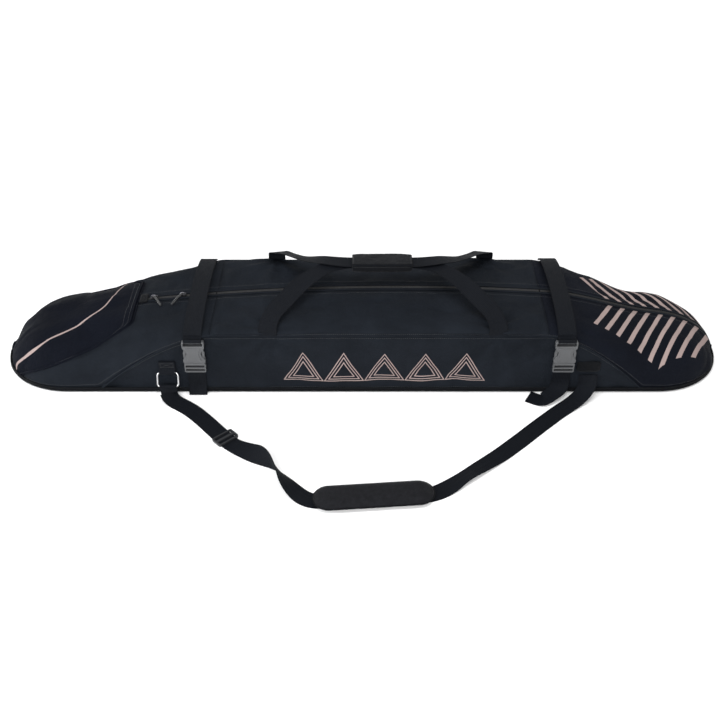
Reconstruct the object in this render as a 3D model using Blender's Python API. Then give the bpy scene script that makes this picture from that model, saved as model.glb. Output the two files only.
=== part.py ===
"""Padded bag for one snowboard, modelled in metres with +Z up.

The bag lies on its base with the zip on top. X runs from the tail (-X) to the nose (+X), the
front side with the shoulder strap faces -Y, and the origin is the middle of the base's underside.
"""
import math

import bmesh
import bpy
from mathutils import Matrix, Vector

# Overall sizes of the shell
LENGTH = 1.65
WIDTH = 0.31
SEAM_HEIGHT = 0.155          # straight top edge of the side walls
ZIP_PEAK = 0.180             # highest point of the zip line
ZIP_PEAK_X = 0.08
ZIP_ARC_RADIUS = 5.0         # the zip line is one long arc, seen from the side
WALL = 0.004                 # padded nylon
BASE_THICK = 0.005
GAP = 0.0003                 # clearance between pieces that touch
PLAY = 0.0006                # clearance between pieces that run on each other

# Rounded ends, each measured inwards from its tip
END_ROUND = 0.16
CROWN_ROUND = 0.165
TIP_HEIGHT = 0.022
TIP_FLAT = 0.020
TAIL_SEAM_STRAIGHT = 0.495   # the side seam is straight further in than this
TAIL_SEAM_FOOT = 0.235       # and reaches the base here
NOSE_SEAM_STRAIGHT = 0.420
NOSE_SEAM_FOOT = 0.195
SEAM_DIVE_POWER = 1.55
TAIL_DROP = 0.012            # how far the ends sink below the zip's arc
TAIL_DROP_FROM = 0.325
TAIL_DROP_OVER = 0.20
NOSE_DROP = 0.030
NOSE_DROP_FROM = 0.405
NOSE_DROP_OVER = 0.25
CROWN_POWER = 0.8            # squareness of the crown's cross-section
GUSSET_END_HEIGHT = 0.010

# Tail cap
CAP_TOP = 0.312              # from the tail's tip to the cap's seam on top
CAP_FOOT = 0.050             # and at the base
CAP_TURN_FROM = 0.26         # the seam leaves its top line this share of the way to the side seam
CAP_TURN_OVER = 0.70
PIPING_RADIUS = 0.002

# Padding inside
PAD_THICK = 0.006
BASE_PAD_THICK = 0.008
PAD_CLEAR = 0.002

# Main zip
ZIP_SLOT = 0.016             # between the edges of the top panels
ZIP_THICK = 0.003
SLIDER_LENGTH = 0.016
SLIDER_WIDTH = 0.012
SLIDER_PLATE = 0.0035
POST_RADIUS = 0.0015
POST_HEIGHT = 0.0040
PULL_LENGTH = 0.042
PULL_WIDTH = 0.0064
PULL_THICK = 0.0020
PULL_FORK = 0.0045           # how deep the pull's fork is
PULL_LEAN = math.radians(60) # from the zip line
TAIL_SLIDER = 0.350          # from the tail's tip to the first slider
SLIDER_SPACING = 0.066
GARAGE_LENGTH = 0.018
GARAGE_WIDTH = 0.034
GARAGE_THICK = 0.0018

# Webbing and its hardware
WEB_WIDTH = 0.040
WEB_THICK = 0.002
TAIL_STRAP = 0.458           # from the tail's tip to the compression strap
NOSE_STRAP = 0.382
STRAP_LIFT = 0.013           # how far a compression strap bows up over the zip
DRAWN_WEB = 0.040            # the web's width and the buckle's foot that the lower webs' points fit
DRAWN_FOOT = 0.064
SLACK_CLEAR = 0.005
BUCKLE_WIDTH = WEB_WIDTH + 0.011
BUCKLE_THICK = 0.0105
BUCKLE_FOOT = SEAM_HEIGHT - 0.091    # floor to the lower edge of the plug
PLUG_HEIGHT = 0.0255
SOCKET_HEIGHT = 0.0560
SLOT_HEIGHT = 0.0066
BAR_HEIGHT = 0.0040
BAR_LENGTH = WEB_WIDTH + 0.003
CAVITY_DEPTH = 0.029
CAVITY_THICK = 0.0062
PRONG_LENGTH = 0.0240
PRONG_WIDTH = 0.0065
PRONG_THICK = 0.0050

# Carrying handles and their grip
HANDLE_TAIL_GAP = 0.163      # from the tail strap to the handles' tail anchors
HANDLE_NOSE_GAP = 0.149
HANDLE_HEIGHT = 0.234
DRAWN_RISE = 0.0748          # from a handle's anchors to its grip, where its route's points fit
GRIP_Y = 0.015
GRIP_LENGTH = 0.135
GRIP_WALL = 0.0025
GRIP_HEIGHT = 0.022
HANDLE_STEP = 0.0022         # half the distance between the two webs in the grip

# Shoulder strap
STRAP_AXIS_Y = -0.0060       # the strap's swing axis, outwards from the side wall
STRAP_AXIS_Z = 0.058
RING_X = -0.431
RING_WIDTH = WEB_WIDTH + 0.010
RING_HEIGHT = 0.036
RING_WIRE = 0.0040
RING_LEAN = math.radians(22)
TAB_WIDTH = WEB_WIDTH - 0.003
TAB_TOP = 0.086
NOSE_END_X = 0.500
PATCH_HEIGHT = 0.026
PATCH_WIDTH = WEB_WIDTH + 0.012
ADJUSTER_LENGTH = 0.030
ADJUSTER_WIDTH = WEB_WIDTH + 0.010
PAD_LENGTH = 0.242
PAD_WIDTH = 0.066
PAD_HEIGHT = 0.020
SHOULDER_ROUTE = [  # x, y, z of the web's middle line, then its roll about that line
    (-0.4310, -0.1778, 0.0160, 0), (-0.4262, -0.1850, 0.0075, 0), (-0.4140, -0.1950, 0.0022, 0),
    (-0.3940, -0.2090, 0.0013, 0), (-0.3700, -0.2290, 0.0013, 0), (-0.3410, -0.2600, 0.0013, 0),
    (-0.3080, -0.2990, 0.0013, 0), (-0.2790, -0.3310, 0.0017, 0), (-0.2570, -0.3500, 0.0050, 8),
    (-0.2300, -0.3700, 0.0105, 28), (-0.2060, -0.3900, 0.0180, 62), (-0.1870, -0.4090, 0.0208, 90),
    (-0.1700, -0.4310, 0.0190, 118), (-0.1530, -0.4560, 0.0115, 150), (-0.1330, -0.4790, 0.0040, 172),
    (-0.1120, -0.4960, 0.0015, 180), (-0.0850, -0.5035, 0.0013, 180), (-0.0300, -0.5010, 0.0013, 180),
    (0.0300, -0.4965, 0.0013, 180), (0.0900, -0.4915, 0.0013, 180), (0.1350, -0.4850, 0.0013, 180),
    (0.1700, -0.4670, 0.0021, 180), (0.2050, -0.4400, 0.0072, 164), (0.2410, -0.4090, 0.0050, 170),
    (0.2870, -0.3690, 0.0018, 178), (0.3340, -0.3240, 0.0013, 180), (0.3820, -0.2760, 0.0013, 180),
    (0.4300, -0.2300, 0.0015, 180), (0.4660, -0.2010, 0.0050, 180), (0.4880, -0.1840, 0.0150, 180),
    (0.5000, -0.1720, 0.0320, 180), (0.5000, -0.1640, 0.0540, 180),
]

HALF_LENGTH = LENGTH / 2
HALF_WIDTH = WIDTH / 2
FLOOR_OF_WALLS = BASE_THICK + GAP
FLAP_TAIL_X = -HALF_LENGTH + TAIL_SEAM_STRAIGHT
FLAP_NOSE_X = HALF_LENGTH - NOSE_SEAM_STRAIGHT
TAIL_STRAP_X = -HALF_LENGTH + TAIL_STRAP
NOSE_STRAP_X = HALF_LENGTH - NOSE_STRAP
HANDLE_TAIL_X = TAIL_STRAP_X + HANDLE_TAIL_GAP
HANDLE_NOSE_X = NOSE_STRAP_X - HANDLE_NOSE_GAP
GRIP_X = (HANDLE_TAIL_X + HANDLE_NOSE_X) / 2
ON_ZIP = 1e-7                # the section station at the zip line, just on one side of it
TAIL_ROWS = 20
NOSE_ROWS = 24
X_AXIS = Vector((1, 0, 0))
Y_AXIS = Vector((0, 1, 0))
Z_AXIS = Vector((0, 0, 1))


# ---------------------------------------------------------------- helpers
def clear_scene():
    for thing in list(bpy.data.objects):
        bpy.data.objects.remove(thing)


def make_material(name, colour, roughness, metallic=0.0):
    material = bpy.data.materials.new(name)
    material.use_nodes = True
    shader = material.node_tree.nodes["Principled BSDF"]
    shader.inputs["Base Color"].default_value = (*colour, 1)
    shader.inputs["Roughness"].default_value = roughness
    shader.inputs["Metallic"].default_value = metallic
    return material


def clamp(value, low=0.0, high=1.0):
    return max(low, min(high, value))


def smooth(value):
    value = clamp(value)
    return value * value * (3 - 2 * value)


def add_object(name, vertices, faces, material, smooth_angle=35):
    mesh = bpy.data.meshes.new(name)
    mesh.from_pydata([tuple(v) for v in vertices], [], faces)
    work = bmesh.new()
    work.from_mesh(mesh)
    bmesh.ops.recalc_face_normals(work, faces=work.faces[:])
    work.to_mesh(mesh)
    work.free()
    mesh.shade_smooth()
    mesh.set_sharp_from_angle(angle=math.radians(smooth_angle))
    mesh.materials.append(material)
    thing = bpy.data.objects.new(name, mesh)
    bpy.context.collection.objects.link(thing)
    return thing


def hang_on_axis(thing, pivot):
    """Puts an object's origin on its joint's axis without moving its shape."""
    thing.data.transform(Matrix.Translation(-Vector(pivot)))
    thing.location = pivot


def prism(name, outline, frame, thick, material):
    """A flat outline in the frame's XY plane, extruded to both sides of it."""
    count = len(outline)
    vertices = [frame @ Vector((u, v, -thick / 2)) for u, v in outline]
    vertices += [frame @ Vector((u, v, thick / 2)) for u, v in outline]
    faces = [list(range(count)), list(range(count, 2 * count))]
    for i in range(count):
        j = (i + 1) % count
        faces.append([i, j, count + j, count + i])
    return add_object(name, vertices, faces, material)


def box_mesh(centre, size):
    mesh = bpy.data.meshes.new("cutter")
    work = bmesh.new()
    bmesh.ops.create_cube(work, size=1)
    bmesh.ops.scale(work, vec=size, verts=work.verts)
    bmesh.ops.translate(work, vec=centre, verts=work.verts)
    work.to_mesh(mesh)
    work.free()
    return mesh


def carve(thing, boxes, operation="DIFFERENCE"):
    """Cuts boxes, each a centre and a size in the object's own frame, out of an object."""
    cutters = []
    for centre, size in boxes:
        cutter = bpy.data.objects.new("cutter", box_mesh(centre, size))
        bpy.context.collection.objects.link(cutter)
        cutter.matrix_world = thing.matrix_world
        modifier = thing.modifiers.new("carve", "BOOLEAN")
        modifier.operation = operation
        modifier.object = cutter
        cutters.append(cutter)
    bpy.context.view_layer.update()
    graph = bpy.context.evaluated_depsgraph_get()
    mesh = bpy.data.meshes.new_from_object(thing.evaluated_get(graph))
    thing.modifiers.clear()
    thing.data = mesh
    for cutter in cutters:
        bpy.data.objects.remove(cutter)
    return thing


def frame_of(origin, x_dir, y_dir):
    x_dir = Vector(x_dir).normalized()
    z_dir = x_dir.cross(Vector(y_dir)).normalized()
    y_dir = z_dir.cross(x_dir)
    turn = Matrix((x_dir, y_dir, z_dir)).transposed().to_4x4()
    return Matrix.Translation(Vector(origin)) @ turn


def rounded_box_outline(width, height, radius, steps=4):
    """Corners of a rectangle with round corners, counter-clockwise."""
    outline = []
    corners = [(1, 1), (-1, 1), (-1, -1), (1, -1)]
    for quarter, (sx, sy) in enumerate(corners):
        for step in range(steps + 1):
            angle = (quarter + step / steps) * math.pi / 2
            outline.append((
                sx * (width / 2 - radius) + radius * math.cos(angle),
                sy * (height / 2 - radius) + radius * math.sin(angle),
            ))
    return outline


def spline_point(points, position):
    """Catmull-Rom through a list of Vectors; position runs from 0 to the last index."""
    last = len(points) - 1
    index = min(int(position), last - 1)
    u = position - index
    p1, p2 = points[index], points[index + 1]
    p0 = points[index - 1] if index else p1 * 2 - p2
    p3 = points[index + 2] if index + 2 <= last else p2 * 2 - p1
    return 0.5 * (2 * p1 + (p2 - p0) * u + (2 * p0 - 5 * p1 + 4 * p2 - p3) * u * u
                  + (3 * p1 - p0 - 3 * p2 + p3) * u ** 3)


def ribbon(name, points, sides, per_span, material, width=WEB_WIDTH, thick=WEB_THICK):
    """A flat web along a smooth curve. Each side Vector points across the web there."""
    points = [Vector(p) for p in points]
    sides = [Vector(s) for s in sides]
    count = (len(points) - 1) * per_span + 1
    line = [spline_point(points, i / per_span) for i in range(count)]
    across = [spline_point(sides, i / per_span) for i in range(count)]
    vertices, faces = [], []
    for i, centre in enumerate(line):
        tangent = (line[min(i + 1, count - 1)] - line[max(i - 1, 0)]).normalized()
        side = (across[i] - tangent * across[i].dot(tangent)).normalized()
        normal = tangent.cross(side)
        for a, b in ((-1, -1), (1, -1), (1, 1), (-1, 1)):
            vertices.append(centre + side * a * width / 2 + normal * b * thick / 2)
    for i in range(count - 1):
        low_a, low_b, high_b, high_a = range(4 * i, 4 * i + 4)
        # Both wide faces share a diagonal, so that a twisted web keeps its thickness
        faces += [[low_a, low_b, low_b + 4], [low_a, low_b + 4, low_a + 4]]
        faces += [[high_a, high_b + 4, high_b], [high_a, high_a + 4, high_b + 4]]
        faces += [[low_b, high_b, high_b + 4, low_b + 4], [high_a, low_a, low_a + 4, high_a + 4]]
    faces += [[0, 1, 2, 3], [4 * count - 4 + k for k in range(4)]]
    return add_object(name, vertices, faces, material)


# ---------------------------------------------------------------- shape of the shell
def inset(x):
    return HALF_LENGTH - abs(x)


def half_width(x):
    u = clamp(1 - inset(x) / END_ROUND)
    return HALF_WIDTH * math.sqrt(1 - u * u)


def zip_height(x):
    reach = x - ZIP_PEAK_X
    height = ZIP_PEAK - ZIP_ARC_RADIUS + math.sqrt(ZIP_ARC_RADIUS ** 2 - reach ** 2)
    if x < 0:
        height -= TAIL_DROP * smooth((TAIL_DROP_FROM - inset(x)) / TAIL_DROP_OVER)
    else:
        height -= NOSE_DROP * smooth((NOSE_DROP_FROM - inset(x)) / NOSE_DROP_OVER)
    u = clamp(1 - inset(x) / CROWN_ROUND)
    return max(height * math.sqrt(1 - u ** 2.6), TIP_HEIGHT)


def seam_height(x):
    straight, foot = TAIL_SEAM_STRAIGHT, TAIL_SEAM_FOOT
    if x > 0:
        straight, foot = NOSE_SEAM_STRAIGHT, NOSE_SEAM_FOOT
    dive = clamp((straight - inset(x)) / (straight - foot))
    return FLOOR_OF_WALLS + (SEAM_HEIGHT - FLOOR_OF_WALLS) * (1 - dive ** SEAM_DIVE_POWER)


def skin(x, t, depth=0.0, slot=0.0):
    """A point of the shell, depth below its outer surface.

    t is -2 at the front base edge, -1 at the front seam, 0 at the zip and the same with
    positive values at the rear. slot is how far the top stays away from the zip line.
    """
    side = math.copysign(1, t)
    end = clamp(1 - inset(x) / END_ROUND)
    width = half_width(x) - depth
    seam = max(seam_height(x) - depth, FLOOR_OF_WALLS)
    x_in = x - math.copysign(depth * end, x)
    if abs(t) > 1:
        rise = 2 - abs(t)
        return Vector((x_in, side * width, FLOOR_OF_WALLS + (seam - FLOOR_OF_WALLS) * rise))
    angle = (1 - abs(t)) * math.pi / 2
    reach = slot + max(width - slot, 0.0) * abs(math.cos(angle)) ** CROWN_POWER
    if abs(t) <= ON_ZIP:
        reach = slot
    rise = math.sin(angle) ** CROWN_POWER
    return Vector((x_in, side * reach, seam + (zip_height(x) - depth - seam) * rise))


def outside(x, t, distance):
    """A point that stands off the shell's surface by distance, measured square to it."""
    step = 1e-4
    along = skin(x + step, t) - skin(x - step, t)
    around = skin(x, t + step) - skin(x, t - step)
    return skin(x, t) + along.cross(around).normalized() * distance


def cap_edge(t):
    """Where the tail cap ends, along X: far in on top, near the tip at the base."""
    spread = smooth((abs(t) - CAP_TURN_FROM) / CAP_TURN_OVER)
    return -HALF_LENGTH + CAP_TOP - (CAP_TOP - CAP_FOOT) * spread


def shell_panel(name, span, ts, rows, material, lift=0.0, slot=0.0, skins=(0.0, WALL)):
    """A thickened stretch of the shell.

    span(t, s) gives x for s from 0 to 1, ts are the stations around the section, and lift
    raises the whole edge at the seam or base by the clearance.
    """
    vertices, faces = [], []
    columns = len(ts)
    for depth in skins:
        for i in range(rows + 1):
            for t in ts:
                point = skin(span(t, i / rows), t, depth, slot)
                share = 1 - clamp(2 * (1 - abs(t))) if abs(t) <= 1 else 0
                vertices.append(point + Vector((0, 0, lift * share)))

    def at(layer, i, j):
        return (layer * (rows + 1) + i) * columns + j

    for i in range(rows):
        for j in range(columns - 1):
            for layer in (0, 1):
                faces.append([at(layer, i, j), at(layer, i + 1, j),
                              at(layer, i + 1, j + 1), at(layer, i, j + 1)])
        for j in (0, columns - 1):
            faces.append([at(0, i, j), at(0, i + 1, j), at(1, i + 1, j), at(1, i, j)])
    for i in (0, rows):
        for j in range(columns - 1):
            faces.append([at(0, i, j), at(0, i, j + 1), at(1, i, j + 1), at(1, i, j)])
    return add_object(name, vertices, faces, material)


def stations(start, end, count):
    return [start + (end - start) * i / (count - 1) for i in range(count)]


def side_stations(side, count=14):
    """From the side seam to the zip line; the last one keeps its sign."""
    return [side * max(1 - i / count, ON_ZIP) for i in range(count + 1)]


def straight_span(start, end, power=1.0):
    return lambda t, s: start + (end - start) * (1 - (1 - s) ** power)


def tail_span(t, s):
    start = cap_edge(t) + GAP
    return start + (FLAP_TAIL_X - GAP - start) * s


nose_span = straight_span(FLAP_NOSE_X + GAP, HALF_LENGTH, 1.7)


def wall_stations():
    """The side wall shares its stations with the panels above, so that their edges meet."""
    xs = [tail_span(1, i / TAIL_ROWS) for i in range(TAIL_ROWS + 1)]
    xs += [nose_span(1, i / NOSE_ROWS) for i in range(NOSE_ROWS + 1)]
    return [x for x in xs if seam_height(x) > FLOOR_OF_WALLS + GUSSET_END_HEIGHT]


# ---------------------------------------------------------------- shell pieces
def build_base(fabric, foam):
    steps = 14
    angles = [math.pi * i / steps - math.pi / 2 for i in range(steps + 1)]

    def outline(margin):
        far, wide = END_ROUND - margin, HALF_WIDTH - margin
        centre = HALF_LENGTH - END_ROUND
        nose = [(centre + far * math.cos(a), wide * math.sin(a)) for a in angles]
        return nose + [(-x, -y) for x, y in nose]

    frame = frame_of((0, 0, BASE_THICK / 2), X_AXIS, Y_AXIS)
    prism("base_panel", outline(0.0), frame, BASE_THICK, fabric)
    inner = WALL + PAD_THICK + PAD_CLEAR
    frame = frame_of((0, 0, BASE_THICK + GAP + BASE_PAD_THICK / 2), X_AXIS, Y_AXIS)
    prism("base_padding", outline(inner + CAP_FOOT), frame, BASE_PAD_THICK, foam)


def build_side_walls(fabric, foam):
    xs = wall_stations()
    rows = len(xs) - 1
    for name, side in (("front", -1), ("rear", 1)):
        ts = [side * 2, side * 1.5, side]
        wall = shell_panel(f"{name}_side_wall", lambda t, s: xs[round(s * rows)], ts, rows, fabric)
        for vertex in wall.data.vertices:
            if vertex.co.z > FLOOR_OF_WALLS + GAP:
                vertex.co.z -= GAP
        inner = WALL + GAP
        low = 2 - (BASE_PAD_THICK + PAD_CLEAR) / (SEAM_HEIGHT - FLOOR_OF_WALLS)
        ts = [side * low, side * 1.5, side * 1.08]
        span = straight_span(FLAP_TAIL_X, FLAP_NOSE_X)
        shell_panel(f"{name}_side_padding", span, ts, 4, foam, skins=(inner, inner + PAD_THICK))


def build_end_panels(fabric):
    for name, side in (("front", -1), ("rear", 1)):
        ts = side_stations(side)
        shell_panel(f"{name}_tail_panel", tail_span, ts, TAIL_ROWS, fabric, GAP, ZIP_SLOT / 2)
        shell_panel(f"{name}_nose_panel", nose_span, ts, NOSE_ROWS, fabric, GAP, ZIP_SLOT / 2)


def build_flaps(fabric, tape):
    for name, side in (("front", -1), ("rear", 1)):
        ts = side_stations(side, 10)
        span = straight_span(FLAP_TAIL_X, FLAP_NOSE_X)
        flap = shell_panel(f"{name}_top_flap", span, ts, 16, fabric, GAP, ZIP_SLOT / 2)
        pivot = (0, side * HALF_WIDTH, SEAM_HEIGHT)
        hang_on_axis(flap, pivot)
        half = zip_strip(f"{name}_zip_half", FLAP_TAIL_X, FLAP_NOSE_X, GAP / 2,
                         ZIP_SLOT / 2 - GAP, tape, 16, side)
        hang_on_axis(half, pivot)


def build_tail_cap(fabric):
    ts = [-t for t in side_stations(1)] + side_stations(1)[-2::-1]
    rows = 12
    vertices, faces = [], []
    columns = len(ts)
    for depth in (0.0, WALL):
        for i in range(rows + 1):
            for t in ts:
                tip = -HALF_LENGTH
                x = tip + (cap_edge(t) - tip) * (i / rows) ** 1.7
                point = skin(x, t, depth)
                flat = (TIP_FLAT - depth) * max(0.0, math.cos((1 - abs(t)) * math.pi / 2))
                point.y = math.copysign(max(abs(point.y), flat), t) if abs(t) > ON_ZIP else 0
                share = 1 - clamp(2 * (1 - abs(t)))
                vertices.append(point + Vector((0, 0, GAP * share)))

    def at(layer, i, j):
        return (layer * (rows + 1) + i) * columns + j

    for i in range(rows):
        for j in range(columns - 1):
            for layer in (0, 1):
                faces.append([at(layer, i, j), at(layer, i + 1, j),
                              at(layer, i + 1, j + 1), at(layer, i, j + 1)])
        for j in (0, columns - 1):
            faces.append([at(0, i, j), at(0, i + 1, j), at(1, i + 1, j), at(1, i, j)])
    for j in range(columns - 1):
        faces.append([at(0, rows, j), at(0, rows, j + 1), at(1, rows, j + 1), at(1, rows, j)])
    for layer in (0, 1):
        faces.append([at(layer, 0, j) for j in range(columns)])
    faces.append([at(0, 0, 0), at(0, 0, columns - 1), at(1, 0, columns - 1), at(1, 0, 0)])
    add_object("tail_cap", vertices, faces, fabric)


def build_piping(fabric):
    """The round welt over the seam between the tail cap and the rest of the bag."""
    curve = bpy.data.curves.new("tail_cap_piping", "CURVE")
    curve.dimensions = "3D"
    curve.bevel_depth = PIPING_RADIUS
    curve.bevel_resolution = 2
    curve.use_fill_caps = True
    points = [outside(cap_edge(t), t, PIPING_RADIUS + 3 * PLAY) for t in stations(-0.93, 0.93, 61)]
    spline = curve.splines.new("POLY")
    spline.points.add(len(points) - 1)
    for target, point in zip(spline.points, points):
        target.co = (*point, 1)
    curve.materials.append(fabric)
    thing = bpy.data.objects.new("tail_cap_piping", curve)
    bpy.context.collection.objects.link(thing)


# ---------------------------------------------------------------- zip
def zip_strip(name, start, end, near, far, material, rows, side=0):
    """Zip tape and teeth along the zip line, from y = near to y = far, or on both sides."""
    vertices, faces = [], []
    low, high = (-far, far) if side == 0 else sorted((side * near, side * far))
    for i in range(rows + 1):
        x = start + (end - start) * (1 - (1 - i / rows) ** (1.7 if end == HALF_LENGTH else 1))
        for y in (low, high):
            for depth in (0.0, ZIP_THICK):
                point = skin(x, ON_ZIP, depth)
                vertices.append(Vector((point.x, y, point.z)))
    for i in range(rows):
        a, b = 4 * i, 4 * i + 4
        for p, q in ((0, 1), (1, 3), (3, 2), (2, 0)):
            faces.append([a + p, a + q, b + q, b + p])
    last = 4 * rows
    faces += [[0, 1, 3, 2], [last, last + 1, last + 3, last + 2]]
    return add_object(name, vertices, faces, material)


def build_fixed_zip(tape, fabric):
    reach = ZIP_SLOT / 2 - GAP
    tail_end = cap_edge(0) + 2 * GAP
    zip_strip("tail_zip", tail_end, FLAP_TAIL_X - GAP, 0, reach, tape, 10)
    zip_strip("nose_zip", FLAP_NOSE_X + GAP, HALF_LENGTH, 0, reach, tape, 20)
    middle = tail_end + GARAGE_LENGTH / 2 + PIPING_RADIUS + 2 * PLAY
    lift = GARAGE_THICK / 2 + PLAY
    ahead, behind = middle + GARAGE_LENGTH / 2, middle - GARAGE_LENGTH / 2
    slope = (zip_height(ahead) - zip_height(behind)) / GARAGE_LENGTH
    frame = frame_of((middle, 0, zip_height(middle) + lift), (1, 0, slope), Y_AXIS)
    outline = rounded_box_outline(GARAGE_LENGTH, GARAGE_WIDTH, 0.004)
    prism("zip_garage", outline, frame, GARAGE_THICK, fabric)


def build_sliders(metal, cord):
    for letter, place, lean in (("a", 0, 1), ("b", SLIDER_SPACING, -1)):
        x = -HALF_LENGTH + TAIL_SLIDER + place
        slope = (zip_height(x + 0.01) - zip_height(x - 0.01)) / 0.02
        base = Vector((x, 0, zip_height(x)))
        frame = frame_of(base, (1, 0, slope), Y_AXIS)
        up = frame.to_3x3() @ Z_AXIS
        plate = frame @ Matrix.Translation((0, 0, PLAY + SLIDER_PLATE / 2))
        outline = rounded_box_outline(SLIDER_LENGTH, SLIDER_WIDTH, 0.003)
        slider = prism(f"zip_slider_{letter}", outline, plate, SLIDER_PLATE, metal)
        post = [(POST_RADIUS * math.cos(k * math.pi / 6), POST_RADIUS * math.sin(k * math.pi / 6))
                for k in range(12)]
        height = POST_HEIGHT + 0.001
        centre = PLAY + SLIDER_PLATE + POST_HEIGHT - height / 2
        stud = prism("stud", post, frame @ Matrix.Translation((0, 0, centre)), height, metal)
        weld(slider, stud)
        pivot = base + up * (PLAY + SLIDER_PLATE + POST_HEIGHT / 2 + PULL_THICK / 4)
        out = (frame.to_3x3() @ Vector((lean * math.cos(PULL_LEAN), -math.sin(PULL_LEAN), 0)))
        build_pull(f"zip_pull_{letter}", pivot, out, up, cord)


def weld(thing, other):
    """Joins another object into this one as one solid."""
    modifier = thing.modifiers.new("weld", "BOOLEAN")
    modifier.operation = "UNION"
    modifier.object = other
    bpy.context.view_layer.update()
    graph = bpy.context.evaluated_depsgraph_get()
    mesh = bpy.data.meshes.new_from_object(thing.evaluated_get(graph))
    thing.modifiers.clear()
    thing.data = mesh
    bpy.data.objects.remove(other)


def build_pull(name, pivot, out, up, cord):
    """A flat pull whose fork straddles the slider's post."""
    inner, outer = POST_RADIUS + PLAY, PULL_WIDTH / 2
    outline = [
        (-POST_RADIUS, -outer), (PULL_LENGTH - outer, -outer), (PULL_LENGTH, -outer / 2),
        (PULL_LENGTH, outer / 2), (PULL_LENGTH - outer, outer), (-POST_RADIUS, outer),
        (-POST_RADIUS, inner), (PULL_FORK, inner), (PULL_FORK, -inner), (-POST_RADIUS, -inner),
    ]
    frame = frame_of(pivot, out, up.cross(out))
    pull = prism(name, outline, frame, PULL_THICK, cord)
    hang_on_axis(pull, pivot)


# ---------------------------------------------------------------- compression straps
def web_front():
    """Y of the middle of a web that lies on the front side wall."""
    return -(HALF_WIDTH + PLAY + WEB_THICK / 2)


def build_compression_straps(web, plastic):
    for end, x in (("tail", TAIL_STRAP_X), ("nose", NOSE_STRAP_X)):
        build_top_strap(end, x, web)
        build_buckle(end, x, plastic)
        build_rear_anchor(end, x, web)
    build_lower_straps(web)


def strap_side():
    """Y of the middle of a web that turns over the rear top corner."""
    return HALF_WIDTH + 2 * PLAY + WEB_THICK / 2


def strap_pivot(x):
    inner_edge = x - math.copysign(WEB_WIDTH / 2, x)
    return Vector((x, strap_side(), seam_height(inner_edge)))


def build_top_strap(end, x, web):
    bar = BUCKLE_FOOT + PLUG_HEIGHT + SOCKET_HEIGHT - BAR_HEIGHT / 2
    front = buckle_middle()
    turn = BAR_HEIGHT * 0.71 + WEB_THICK / 2 + PLAY
    inner_edge = x - math.copysign(WEB_WIDTH / 2, x)
    points = []
    for t in (1.0, 0.9, 0.78, 0.6, 0.42, 0.22, 0.0, -0.22, -0.42, -0.6, -0.78, -0.9):
        point = skin(inner_edge, t, -WEB_THICK / 2 - 2 * PLAY)
        bow = STRAP_LIFT * (1 - abs(point.y / HALF_WIDTH) ** 2.2)
        points.append((x, point.y, point.z + 0.002 + bow))
    points += [
        (x, -strap_side(), SEAM_HEIGHT - 0.002),
        (x, front + turn - 0.0015, bar + 0.006), (x, front + turn, bar + 0.0015),
        (x, front + turn * 0.75, bar - turn * 0.66), (x, front, bar - turn),
        (x, front - turn * 0.75, bar - turn * 0.66), (x, front - turn, bar + 0.0015),
        (x, front - turn - 0.0004, bar + 0.010),
    ]
    strap = ribbon(f"{end}_top_strap", points, [X_AXIS] * len(points), 3, web)
    hang_on_axis(strap, strap_pivot(x))


def buckle_middle():
    """Y of the middle of a buckle on the front side wall."""
    return web_front() - WEB_THICK / 2 - PLAY - BUCKLE_THICK / 2


def build_buckle(end, x, plastic):
    facing = frame_of((x, buckle_middle(), BUCKLE_FOOT), X_AXIS, Z_AXIS)
    half = BUCKLE_WIDTH / 2
    low, high = PLUG_HEIGHT + GAP, PLUG_HEIGHT + SOCKET_HEIGHT
    outline = [
        (half - 0.001, low), (half, low + 0.004), (half, high - 0.026), (half - 0.0035, high - 0.021),
        (half - 0.0035, high - 0.013), (half, high - 0.008), (half, high - 0.002),
        (half - 0.002, high),
    ]
    outline += [(-u, v) for u, v in reversed(outline)]
    socket = prism(f"{end}_buckle_socket", outline, facing, BUCKLE_THICK, plastic)
    wide = 2 * (WEB_WIDTH / 2 + 0.0015)
    slot = high - BAR_HEIGHT - SLOT_HEIGHT / 2
    depth = 2 * BUCKLE_THICK

    def place(u, v, size_u, size_v, size_w):
        centre = facing @ Vector((u, v, 0))
        return centre, (size_u, size_w, size_v)

    carve(socket, [
        place(0, low + CAVITY_DEPTH / 2 - 0.001, wide, CAVITY_DEPTH + 0.002, CAVITY_THICK),
        place(0, slot, BAR_LENGTH, SLOT_HEIGHT, depth),
    ])
    trim_bar(socket, facing, high, depth)
    round_edges(socket)
    hang_on_axis(socket, strap_pivot(x))
    build_plug(end, x, facing, plastic, place, wide)


def trim_bar(socket, facing, high, depth):
    """Thins the top bar so that the web can turn round it."""
    cut = (depth - BAR_HEIGHT) / 2
    boxes = []
    for side in (-1, 1):
        centre = facing @ Vector((0, high - BAR_HEIGHT / 2, side * (BAR_HEIGHT / 2 + cut / 2)))
        boxes.append((centre, (BAR_LENGTH, cut, BAR_HEIGHT + 0.004)))
    carve(socket, boxes)


def round_edges(thing):
    modifier = thing.modifiers.new("edges", "BEVEL")
    modifier.width = 0.0006
    modifier.segments = 1
    modifier.limit_method = "ANGLE"
    modifier.angle_limit = math.radians(60)


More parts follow.
